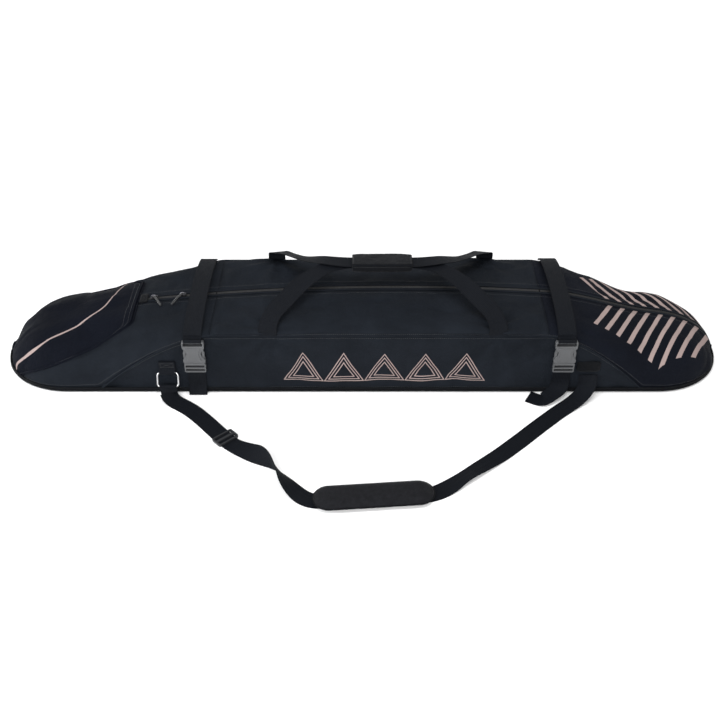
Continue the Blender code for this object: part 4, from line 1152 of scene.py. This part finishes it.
def handle_points(side):
    """A handle's web: up from one stitched end, level through the grip, and down to the other."""
    y, z = handle_axis(side).yz
    height = HANDLE_HEIGHT + side * 0.0022
    grip = GRIP_LENGTH / 2

    def across(share):
        return y + (GRIP_Y - y) * share

    rising = [(0, y - side * 0.0006, z - 0.006), (0.001, across(0.03), z + 0.018),
              (0.012, across(0.19), z + 0.034), (0.038, across(0.41), z + 0.046),
              (0.072, across(0.67), z + 0.059), (0.118, across(0.9), height - 0.003)]
    held = [(GRIP_X + along, GRIP_Y, height)
            for along in (-grip - 0.012, -grip / 2, grip / 2, grip + 0.012)]
    return ([(HANDLE_TAIL_X + along, a, b) for along, a, b in rising] + held
            + [(HANDLE_NOSE_X - along, a, b) for along, a, b in reversed(rising)])


def handle_sides(side):
    """The direction of the web's width at each of those points, so that it lies flat in the grip."""
    tail = [Vector((1, 0, 0)), Vector((1, side * 0.1, 0)), Vector((0.8, side * 0.55, -0.2)),
            Vector((0.45, side * 0.8, -0.4)), Vector((0.1, side, -0.35)), Vector((0, side, -0.12))]
    nose = [Vector((-v.x, v.y, v.z)) for v in reversed(tail)]
    return tail + [Vector((0, side, 0))] * 4 + nose


def build_handles(web_finish):
    for name, side in (("front", -1), ("rear", 1)):
        web(f"{name}_handle_strap", handle_points(side), handle_sides(side), web_finish,
            f"{name}_handle", [f"{name}_handle_web"])


def padded_wrap(name, profile, wide, body, node, cloth, seed, thick=0.0026):
    """A soft cover around the handles: its profile in Y and Z, drawn along X and gently uneven."""
    rows, steps = 27, 6
    fine = [Vector((0, *p)) for p in profile]
    count = (len(fine) - 1) * steps + 1
    line = [spline_point(fine, i / steps) for i in range(count)]
    vertices, uvs = [], []
    for i in range(rows + 1):
        x = wide * (i / rows - 0.5)
        end = 1 - 0.1 * abs(2 * i / rows - 1) ** 5
        travel = 0.0
        for k, point in enumerate(line):
            travel += (point - line[max(k - 1, 0)]).length
            swell = 0.0008 * noise.noise(Vector((x * 45 + seed, point.y * 60, point.z * 60)))
            vertices.append(Vector((GRIP_X + x, GRIP_Y + point.y * (end + swell * 20),
                                    HANDLE_HEIGHT + point.z * end + swell)))
            uvs.append((x, travel))
    piece = add_mesh(name, vertices, grid_faces(rows, count - 1), [cloth], uvs, 180)
    thicken(piece, thick)
    soften(piece)
    settle(piece, body, "grip_cloth", node)


def build_grip(cloth, thread, binding):
    """A tray under both handles and a cover that closes over it."""
    tray = [(-0.0238, 0.0074), (-0.024, 0.001), (-0.0232, -0.0062), (-0.019, -0.0096),
            (0.0, -0.0102), (0.019, -0.0096), (0.0232, -0.0062), (0.024, 0.001),
            (0.0238, 0.0074)]
    cover = [(-0.0236, 0.0092), (-0.02, 0.0098), (-0.01, 0.0106), (0.0, 0.0108),
             (0.012, 0.0106), (0.0205, 0.0098), (0.0256, 0.007), (0.0266, 0.001),
             (0.0264, -0.005)]
    padded_wrap("grip_padding", tray, GRIP_LENGTH - 0.001, "front_handle", "grip_wrap", cloth, 1.0)
    padded_wrap("grip_cover_cloth", cover, GRIP_LENGTH, "grip_cover", "grip_flap", cloth, 7.0)
    for name, end in (("tail", -1), ("nose", 1)):
        x = GRIP_X + end * (GRIP_LENGTH / 2 - 0.0032)
        points = [Vector((x, GRIP_Y + y * 0.97, HANDLE_HEIGHT + z + 0.0012)) for y, z in cover[1:6]]
        hem = stitches(f"grip_hem_{name}", [[(p, Z_AXIS) for p in points]], thread, *FINE_STITCH)
        settle(hem, "grip_cover", "grip_cloth")
    rim = [(GRIP_X + (GRIP_LENGTH - 0.004) * (i / 40 - 0.5), GRIP_Y - 0.025,
            HANDLE_HEIGHT + 0.0084) for i in range(41)]
    settle(tube("grip_cover_rim", rim, 0.0011, binding), "grip_cover", "grip_cloth")
    line = [(Vector((x, GRIP_Y - 0.0256, HANDLE_HEIGHT + 0.0046)), -Y_AXIS)
            for x, _, _ in rim[1:-1]]
    row = stitches("grip_front_stitches", [line], thread, *FINE_STITCH)
    settle(row, "front_handle", "grip_cloth")


# ---------------------------------------------------------------- shoulder strap
def route_side(tangent, roll):
    """The direction of the web's width: level, then rolled about the web's own line."""
    flat = Z_AXIS.cross(tangent).normalized()
    return Matrix.Rotation(math.radians(roll), 3, tangent) @ flat


def build_shoulder_strap(web_finish, steel, pad_finish, binding, thread):
    """The free web on the floor, doubled up to the adjuster, with the pieces that ride on it."""
    points = [Vector(entry[:3]) for entry in SHOULDER_ROUTE]
    last = len(points) - 1
    sides = [route_side((points[min(i + 1, last)] - points[max(i - 1, 0)]).normalized(), entry[3])
             for i, entry in enumerate(SHOULDER_ROUTE)]
    frames = web_frames(points, sides, 6)
    vertices, faces, uvs = sweep(frames, web_section(WEB_WIDTH, 0.0018))
    doubled = [station for station in frames if station[0].x < -0.281]
    more_vertices, more_faces, more_uvs = sweep(doubled[2:], web_section(WEB_WIDTH - 0.001, 0.0016),
                                                0.0018, len(vertices))
    strap = add_mesh("shoulder_strap_belt", vertices + more_vertices, faces + more_faces,
                     [web_finish], uvs + more_uvs, 50)
    settle(strap, "shoulder_strap", "webbing", "shoulder_strap_web")
    ring = build_ring(steel)
    pad = build_pad(points, pad_finish, binding)
    length = sum((b[0] - a[0]).length for a, b in zip(frames[:-1], frames[1:]))
    build_tab(web_finish, thread)


def ring_down():
    """The way the leaning ring hangs."""
    return Vector((0, -math.sin(RING_LEAN), -math.cos(RING_LEAN)))


def build_ring(steel):
    """A rounded rectangle of round wire that hangs in its tab."""
    wire, down = RING_WIRE / 2, ring_down()
    centre = Vector((RING_X, STRAP_AXIS.y, STRAP_AXIS.z)) + down * (RING_HEIGHT / 2 - wire)
    wide, high, corner = RING_WIDTH / 2 - wire, RING_HEIGHT / 2 - wire, 0.007
    loop = []
    for quarter, (sx, sy) in enumerate(((1, 1), (-1, 1), (-1, -1), (1, -1))):
        for step in range(9):
            angle = (quarter + step / 8) * math.pi / 2
            loop.append(centre + X_AXIS * (sx * (wide - corner) + corner * math.cos(angle))
                        - down * (sy * (high - corner) + corner * math.sin(angle)))
    ring = ring_tube("strap_ring_wire", spaced_loop(loop, 0.003), wire, steel, 12)
    return settle(ring, "shoulder_strap", "ring_metal", "strap_ring")


def build_tab(web_finish, thread):
    """The folded web on the wall that holds the ring."""
    y, z = STRAP_AXIS.y, STRAP_AXIS.z
    wall = -HALF_WIDTH - PLAY
    r = RING_WIRE / 2 * 1.42 + 0.0013
    loop = [(wall - 0.001, 0.086), (wall - 0.001, z + 0.016), (wall - 0.0016, z + 0.006)]
    turns = [math.pi * k / 6 for k in range(7)]
    loop += [(y + r * math.cos(a), z - r * math.sin(a)) for a in turns]
    loop += [(wall - 0.0036, z + 0.01), (wall - 0.0032, z + 0.018), (wall - 0.003, 0.085)]
    points = [(RING_X, a, b) for a, b in loop]
    web("ring_tab_web", points, [X_AXIS] * len(points), web_finish, "shell", ["ring_tab"], 4,
        0.037, 0.0015)
    box_stitch("ring_tab_box", Vector((RING_X, wall - 0.0034, 0.0775)), X_AXIS, Z_AXIS,
               0.028, 0.012, "shell", "webbing", thread, 0.0006)


def soft_patch(name, centre, along, across, length, width, thick, material, seed):
    """A small sewn-down piece of cloth: flat at its edges, a little full in the middle."""
    up = along.cross(across).normalized()
    rows, wide = 16, 12
    vertices, uvs = [], []
    for i in range(rows + 1):
        for j in range(wide + 1):
            u, v = 2 * i / rows - 1, 2 * j / wide - 1
            round_off = 1 - 0.1 * (abs(u) ** 6) * (abs(v) ** 6)
            full = (1 - u ** 6) * (1 - v ** 6)
            bump = thick * (0.55 + 0.45 * full) + 0.0005 * noise.noise(Vector((u * 3, v * 3, seed)))
            vertices.append(centre + along * u * length / 2 * round_off
                            + across * v * width / 2 * round_off + up * bump)
            uvs.append((u * length / 2, v * width / 2))
    piece = add_mesh(name, vertices, grid_faces(rows, wide), [material], uvs, 180)
    thicken(piece, thick)
    return piece


def inflate(piece, pressure, most, seam_range):
    """Lets a closed cushion swell under its own filling, held along its seam."""
    points = piece.data.vertices
    rest = np.array([tuple(v.co) for v in points])
    low, high = seam_range
    seam = [(v.index, 1.0) for v in points if low < v.co.z < high and abs(v.normal.z) < 0.75]
    swollen = settle_as_cloth(piece, seam, frames=20, pressure=pressure, quality=6,
                              tension_stiffness=12, compression_stiffness=12, bending_stiffness=0.5)
    piece.modifiers.clear()
    for vertex, place in zip(points, rest + at_most(swollen - rest, most)):
        vertex.co = place


def build_pad(points, pad_finish, binding):
    """The shoulder pad: a long cushion, stitched down inside its bound edge."""
    low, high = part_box("shoulder_pad")
    tail, nose = points[16], points[20]
    along = Vector((nose.x - tail.x, nose.y - tail.y, 0)).normalized()
    across = Z_AXIS.cross(along)
    centre = tail.lerp(nose, 0.49)
    centre.z = low[2]
    work = bmesh.new()
    length, width, height = 0.242, 0.066, high[2] - low[2]
    half, straight, seam = width / 2, (length - width) / 2, 0.3 * height
    rows, wide = 60, 22
    grid = {}
    for layer in (0, 1):
        for i in range(rows + 1):
            for j in range(wide + 1):
                u, v = 2 * i / rows - 1, 2 * j / wide - 1
                edge = (i in (0, rows)) or (j in (0, wide))
                if layer and edge:
                    grid[layer, i, j] = grid[0, i, j]
                    continue
                past = max(abs(u) * length / 2 - straight, 0) / half
                narrow = half * math.sqrt(max(1 - past * past, 0.02))
                full = (1 - abs(u) ** 9) * (1 - abs(v) ** 4.5)
                channel = math.exp(-((abs(v) - 0.8) / 0.07) ** 2) * (1 - abs(u) ** 16)
                rise = seam + height * full * (0.66 - 0.16 * channel if layer else -0.3)
                place = centre + along * u * length / 2 + across * v * narrow + Z_AXIS * rise
                grid[layer, i, j] = work.verts.new(place)
    for layer in (0, 1):
        for i in range(rows):
            for j in range(wide):
                corners = [grid[layer, i, j], grid[layer, i + 1, j],
                           grid[layer, i + 1, j + 1], grid[layer, i, j + 1]]
                work.faces.new(corners if layer else corners[::-1])
    bmesh.ops.recalc_face_normals(work, faces=work.faces[:])
    mesh = bpy.data.meshes.new("shoulder_cushion")
    work.to_mesh(mesh)
    work.free()
    mesh.shade_smooth()
    mesh.materials.append(pad_finish)
    pad = put_in_scene("shoulder_cushion", mesh)
    inflate(pad, 1.2, 0.003, (low[2] + seam - 0.0012, low[2] + seam + 0.0012))
    for vertex in mesh.vertices:
        vertex.co.z = min(max(vertex.co.z, low[2] - 0.0006), high[2] + 0.002)
    soften(pad)
    settle(pad, "pad", "pad_cloth", "shoulder_pad")
    edge = []
    for k in range(64):
        angle = 2 * math.pi * k / 64
        cap = math.copysign(straight, math.cos(angle))
        edge.append(centre + along * (cap + half * math.cos(angle))
                    + across * (half * math.sin(angle)) + Z_AXIS * seam)
    rim = ring_tube("shoulder_cushion_piping", edge, 0.0014, binding, 8)
    settle(rim, "pad", "pad_cloth")
    return pad


def sew_patches(cloth):
    """The cover over the zip's tail end, and the patch over the shoulder strap's nose end."""
    x = cap_edge(0) + 0.0145
    garage = soft_patch("zip_garage_cloth", Vector((x, 0, zip_height(x) + 0.0004)),
                        zip_tangent(x, 0.01), Y_AXIS, 0.019, 0.034, 0.0022, cloth, 3.0)
    settle(garage, "shell", "cap_fabric", "zip_garage")
    low, high = (Vector(corner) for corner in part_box("strap_patch"))
    centre = Vector(((low.x + high.x) / 2, high.y - 0.0006, (low.z + high.z) / 2))
    patch = soft_patch("strap_patch_cloth", centre, X_AXIS, Z_AXIS, high.x - low.x, high.z - low.z,
                       0.0026, cloth, 8.0)
    settle(patch, "shell", "webbing", "strap_patch")


# ---------------------------------------------------------------- padding inside
def quilt(name, node, lining, place, rows, wide, inward, thick):
    """A quilted lining panel; place(u, v) gives its outer face, inward the way it swells."""
    vertices, uvs, diamond = [], [], 0.06
    for i in range(rows + 1):
        for j in range(wide + 1):
            u, v = i / rows, j / wide
            point, metres = place(u, v)
            a = math.sin(math.pi * (metres[0] + metres[1]) / diamond)
            b = math.sin(math.pi * (metres[0] - metres[1]) / diamond)
            swell = 0.0022 * (abs(a) * abs(b)) ** 0.5
            vertices.append(point + inward * (thick * 0.45 + swell))
            uvs.append(metres)
    piece = add_mesh(name, vertices, grid_faces(rows, wide), [lining], uvs, 180)
    thicken(piece, thick * 0.6)
    settle(piece, "shell", "padding", node)


def build_padding(lining):
    for name, side in (("front", -1), ("rear", 1)):
        low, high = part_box(f"{name}_side_padding")

        def place(u, v, low=low, high=high, side=side):
            x, z = low[0] + (high[0] - low[0]) * u, low[2] + (high[2] - low[2]) * v
            y = (high[1] if side > 0 else low[1]) - side * QUILT_GAP
            return Vector((x, y, z)), (x, z)

        quilt(f"{name}_side_quilt", f"{name}_side_padding", lining, place, 120, 22,
              -side * Y_AXIS, high[1] - low[1])
    low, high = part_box("base_padding")

    def floor_place(u, v):
        x = low[0] + (high[0] - low[0]) * (0.001 + 0.998 * u)
        bend = clamp(1 - (high[0] - abs(x)) / (END_ROUND - (HALF_LENGTH - high[0])))
        half = high[1] * math.sqrt(max(1 - bend * bend, 0.0))
        y = half * (2 * v - 1)
        return Vector((x, y, low[2])), (x, y)

    quilt("base_quilt", "base_padding", lining, floor_place, 200, 28, Z_AXIS, high[2] - low[2])


# ---------------------------------------------------------------- hardware
def dress(node, material, bevel):
    """Gives a kept CAD piece its finish, and breaks its sharp edges."""
    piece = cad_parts[node]
    piece.data.materials.clear()
    piece.data.materials.append(material)
    break_edges(piece, bevel, 2)


def plate(name, outline, holes, facing, thick, material, bevel):
    """A moulded plate: an outline with openings, in the plane of u and v, with rounded edges."""
    mesh = bpy.data.meshes.new(name)
    work = bmesh.new()
    edges = []
    for ring in (outline, *holes):
        corners = [work.verts.new((u, v, -thick / 2)) for u, v in ring]
        edges += [work.edges.new((a, b)) for a, b in zip(corners, corners[1:] + corners[:1])]
    bmesh.ops.triangle_fill(work, edges=edges, use_beauty=True, normal=(0, 0, 1))
    for face in work.faces[:]:
        middle = face.calc_center_median()
        if any(inside(middle, hole) for hole in holes):
            work.faces.remove(face)
    grown = bmesh.ops.extrude_face_region(work, geom=work.faces[:])
    fresh = [item for item in grown["geom"] if isinstance(item, bmesh.types.BMVert)]
    bmesh.ops.translate(work, vec=(0, 0, thick), verts=fresh)
    bmesh.ops.recalc_face_normals(work, faces=work.faces[:])
    bmesh.ops.dissolve_limit(work, angle_limit=0.01, verts=work.verts[:], edges=work.edges[:])
    work.to_mesh(mesh)
    work.free()
    mesh.transform(facing)
    mesh.shade_smooth()
    mesh.set_sharp_from_angle(angle=math.radians(40))
    mesh.materials.append(material)
    piece = put_in_scene(name, mesh)
    break_edges(piece, bevel, 3)
    return piece


def inside(point, ring):
    """Whether a point lies in a closed outline, by counting crossings."""
    crossings = False
    for (ax, ay), (bx, by) in zip(ring, ring[1:] + ring[:1]):
        if (ay > point.y) != (by > point.y):
            if point.x < ax + (bx - ax) * (point.y - ay) / (by - ay):
                crossings = not crossings
    return crossings


def mirrored(half):
    """An outline from its right half, listed upwards, by mirroring it in u = 0."""
    return half + [(-u, v) for u, v in reversed(half)]


def slot_outline(half, low, high, corner=0.0016):
    right = []
    for cu, cv, turn in ((half - corner, low + corner, -90), (half - corner, high - corner, 0)):
        for step in range(4):
            angle = math.radians(turn + 30 * step)
            right.append((cu + corner * math.cos(angle), cv + corner * math.sin(angle)))
    return mirrored(right)


def facing_frame(x, y, z):
    """u runs along +X, v upwards and w out of the front wall."""
    turn = Matrix(((1, 0, 0), (0, 0, -1), (0, 1, 0))).to_4x4()
    return Matrix.Translation((x, y, z)) @ turn


def build_buckles(plastic):
    """Side-release buckles: a waisted socket with its bar, and a plug whose prongs show."""
    half, low, high = 0.0243, PLUG_HEIGHT + GAP, PLUG_HEIGHT + SOCKET_HEIGHT
    for end, x in (("tail", TAIL_STRAP_X), ("nose", NOSE_STRAP_X)):
        facing = facing_frame(x, buckle_middle(), BUCKLE_FOOT)
        body = mirrored([
            (half - 0.0012, low), (half, low + 0.003), (half, low + 0.0085),
            (half - 0.003, low + 0.0125), (half - 0.0072, low + 0.018),
            (half - 0.0085, low + 0.024), (half - 0.0072, low + 0.03),
            (half - 0.0034, low + 0.035), (half - 0.0006, low + 0.0385), (half, low + 0.042),
            (half, high - 0.002), (half - 0.0018, high),
        ])
        slot = slot_outline(0.0212, high - BAR_HEIGHT - 0.0072, high - BAR_HEIGHT)
        socket = plate(f"{end}_socket_shell", body, [slot], facing, BUCKLE_THICK - 0.0006, plastic,
                       0.0011)
        settle(socket, f"{end}_strap", "buckle_plastic", f"{end}_buckle_socket")
        crown = mirrored([
            (0.0128, low + 0.0045), (0.0158, low + 0.007), (0.0126, low + 0.017),
            (0.0112, low + 0.024), (0.0126, low + 0.031), (0.016, low + 0.0375),
            (0.014, low + 0.0392),
        ])
        proud = facing @ Matrix.Translation((0, 0, 0.005))
        raised = plate(f"{end}_socket_crown", crown, [], proud, 0.0016, plastic, 0.0006)
        settle(raised, f"{end}_strap", "buckle_plastic")
        foot = mirrored([
            (half - 0.003, 0.0), (half - 0.001, 0.002), (half - 0.001, PLUG_HEIGHT - 0.003),
            (half - 0.003, PLUG_HEIGHT - 0.0004),
        ])
        slots = [slot_outline(0.0208, 0.0034, 0.0094), slot_outline(0.0208, 0.013, 0.019)]
        plug = plate(f"{end}_plug_foot", foot, slots, facing, BUCKLE_THICK - 0.002, plastic,
                     0.001)
        settle(plug, f"{end}_plug", "buckle_plastic", f"{end}_buckle_plug")
        prong = [(0.0142, -0.001), (0.0196, -0.001), (0.0212, 0.006), (0.0232, 0.0135),
                 (0.0236, 0.025), (0.0216, 0.0335), (0.0186, 0.0345), (0.017, 0.03),
                 (0.0176, 0.018), (0.015, 0.008)]
        for letter, side in (("a", -1), ("b", 1)):
            outline = [(side * u, PLUG_HEIGHT + v) for u, v in prong]
            arm = plate(f"{end}_plug_prong_{letter}", outline, [], facing, 0.0052, plastic, 0.0008)
            settle(arm, f"{end}_plug", "buckle_plastic")


def build_ring_loop(web_finish):
    """The strap's end, turned round the ring's lower bar and sewn to itself."""
    centre = Vector((RING_X, STRAP_AXIS.y, STRAP_AXIS.z)) + ring_down() * (RING_HEIGHT - RING_WIRE)
    r = RING_WIRE / 2 + 0.0014
    turns = [math.radians(205 - 30 * k) for k in range(9)]
    offsets = [(0.003, -0.0052, -0.015), (0.0012, -0.0036, -0.008)]
    offsets += [(0, r * math.cos(a), r * math.sin(a)) for a in turns]
    offsets += [(0.001, -0.0004, -0.0075), (0.0026, -0.0022, -0.014)]
    points = [centre + Vector(offset) for offset in offsets]
    web("strap_ring_loop", points, [X_AXIS] * len(points), web_finish, "shoulder_strap", [], 4,
        0.0385, 0.0015)


def main():
    """The whole bag, on its floor in the studio."""
    place_camera()
    light_studio()
    lay_floor()
    web_finish = webbing("charcoal_webbing")
    shell_cloth = nylon("charcoal_nylon", CHARCOAL)
    wall_cloth = nylon("charcoal_nylon_peaks", CHARCOAL, peaks_print)
    nose_cloth = nylon("navy_nylon_chevrons", (0.0046, 0.0058, 0.0098), chevron_print)
    cap_cloth = nylon("black_cap_nylon", CAP_BLACK, sweep_print, 0.66)
    base_cloth = nylon("base_nylon", (0.004, 0.0046, 0.0058), None, 0.55, 0.03)
    lining = nylon("grey_lining", (0.04, 0.043, 0.047), None, 0.7, 0.05)
    grip_cloth = nylon("grip_cloth", (0.0058, 0.0064, 0.008), None, 0.66, 0.06)
    tape = nylon("zip_tape", (0.004, 0.0043, 0.0052), None, 0.6, 0.04)
    coil = moulded("zip_coil", (0.005, 0.005, 0.006), 0.5)
    thread = thread_finish("charcoal_thread", (0.016, 0.018, 0.021))
    rope = rope_finish("pull_rope")
    grey_plastic = moulded("buckle_plastic", (0.062, 0.064, 0.068), 0.42)
    black_plastic = moulded("black_plastic", (0.014, 0.015, 0.017), 0.38)
    steel = metal("ring_steel", (0.62, 0.62, 0.63), 0.2)
    dark_steel = metal("slider_steel", (0.1, 0.1, 0.11), 0.3)
    pad_finish = fleece("pad_fleece")

    build_shoulder_strap(web_finish, steel, pad_finish, base_cloth, thread)
    panels = shell_panels()
    cloths = {"cap": cap_cloth, "front_wall": wall_cloth, "rear_wall": shell_cloth}
    for name in ("front", "rear"):
        cloths[f"{name}_flap"] = cloths[f"{name}_tail"] = shell_cloth
        cloths[f"{name}_nose"] = nose_cloth
    sew_shell(panels, cloths, lining)
    build_welts(panels, shell_cloth, cap_cloth, thread)
    build_base_binding(base_cloth)
    build_zip((tape, coil, shell_cloth))
    build_sliders(dark_steel, rope, black_plastic)
    build_compression_straps(web_finish, thread)
    build_handles(web_finish)
    build_grip(grip_cloth, thread, web_finish)
    build_padding(lining)

    sew_patches(base_cloth)

    dress("base_panel", base_cloth, 0.0012)
    build_buckles(grey_plastic)
    build_ring_loop(web_finish)
    dress("strap_adjuster", black_plastic, 0.0008)
    for letter in ("a", "b"):
        dress(f"zip_slider_{letter}", dark_steel, 0.0005)


main()
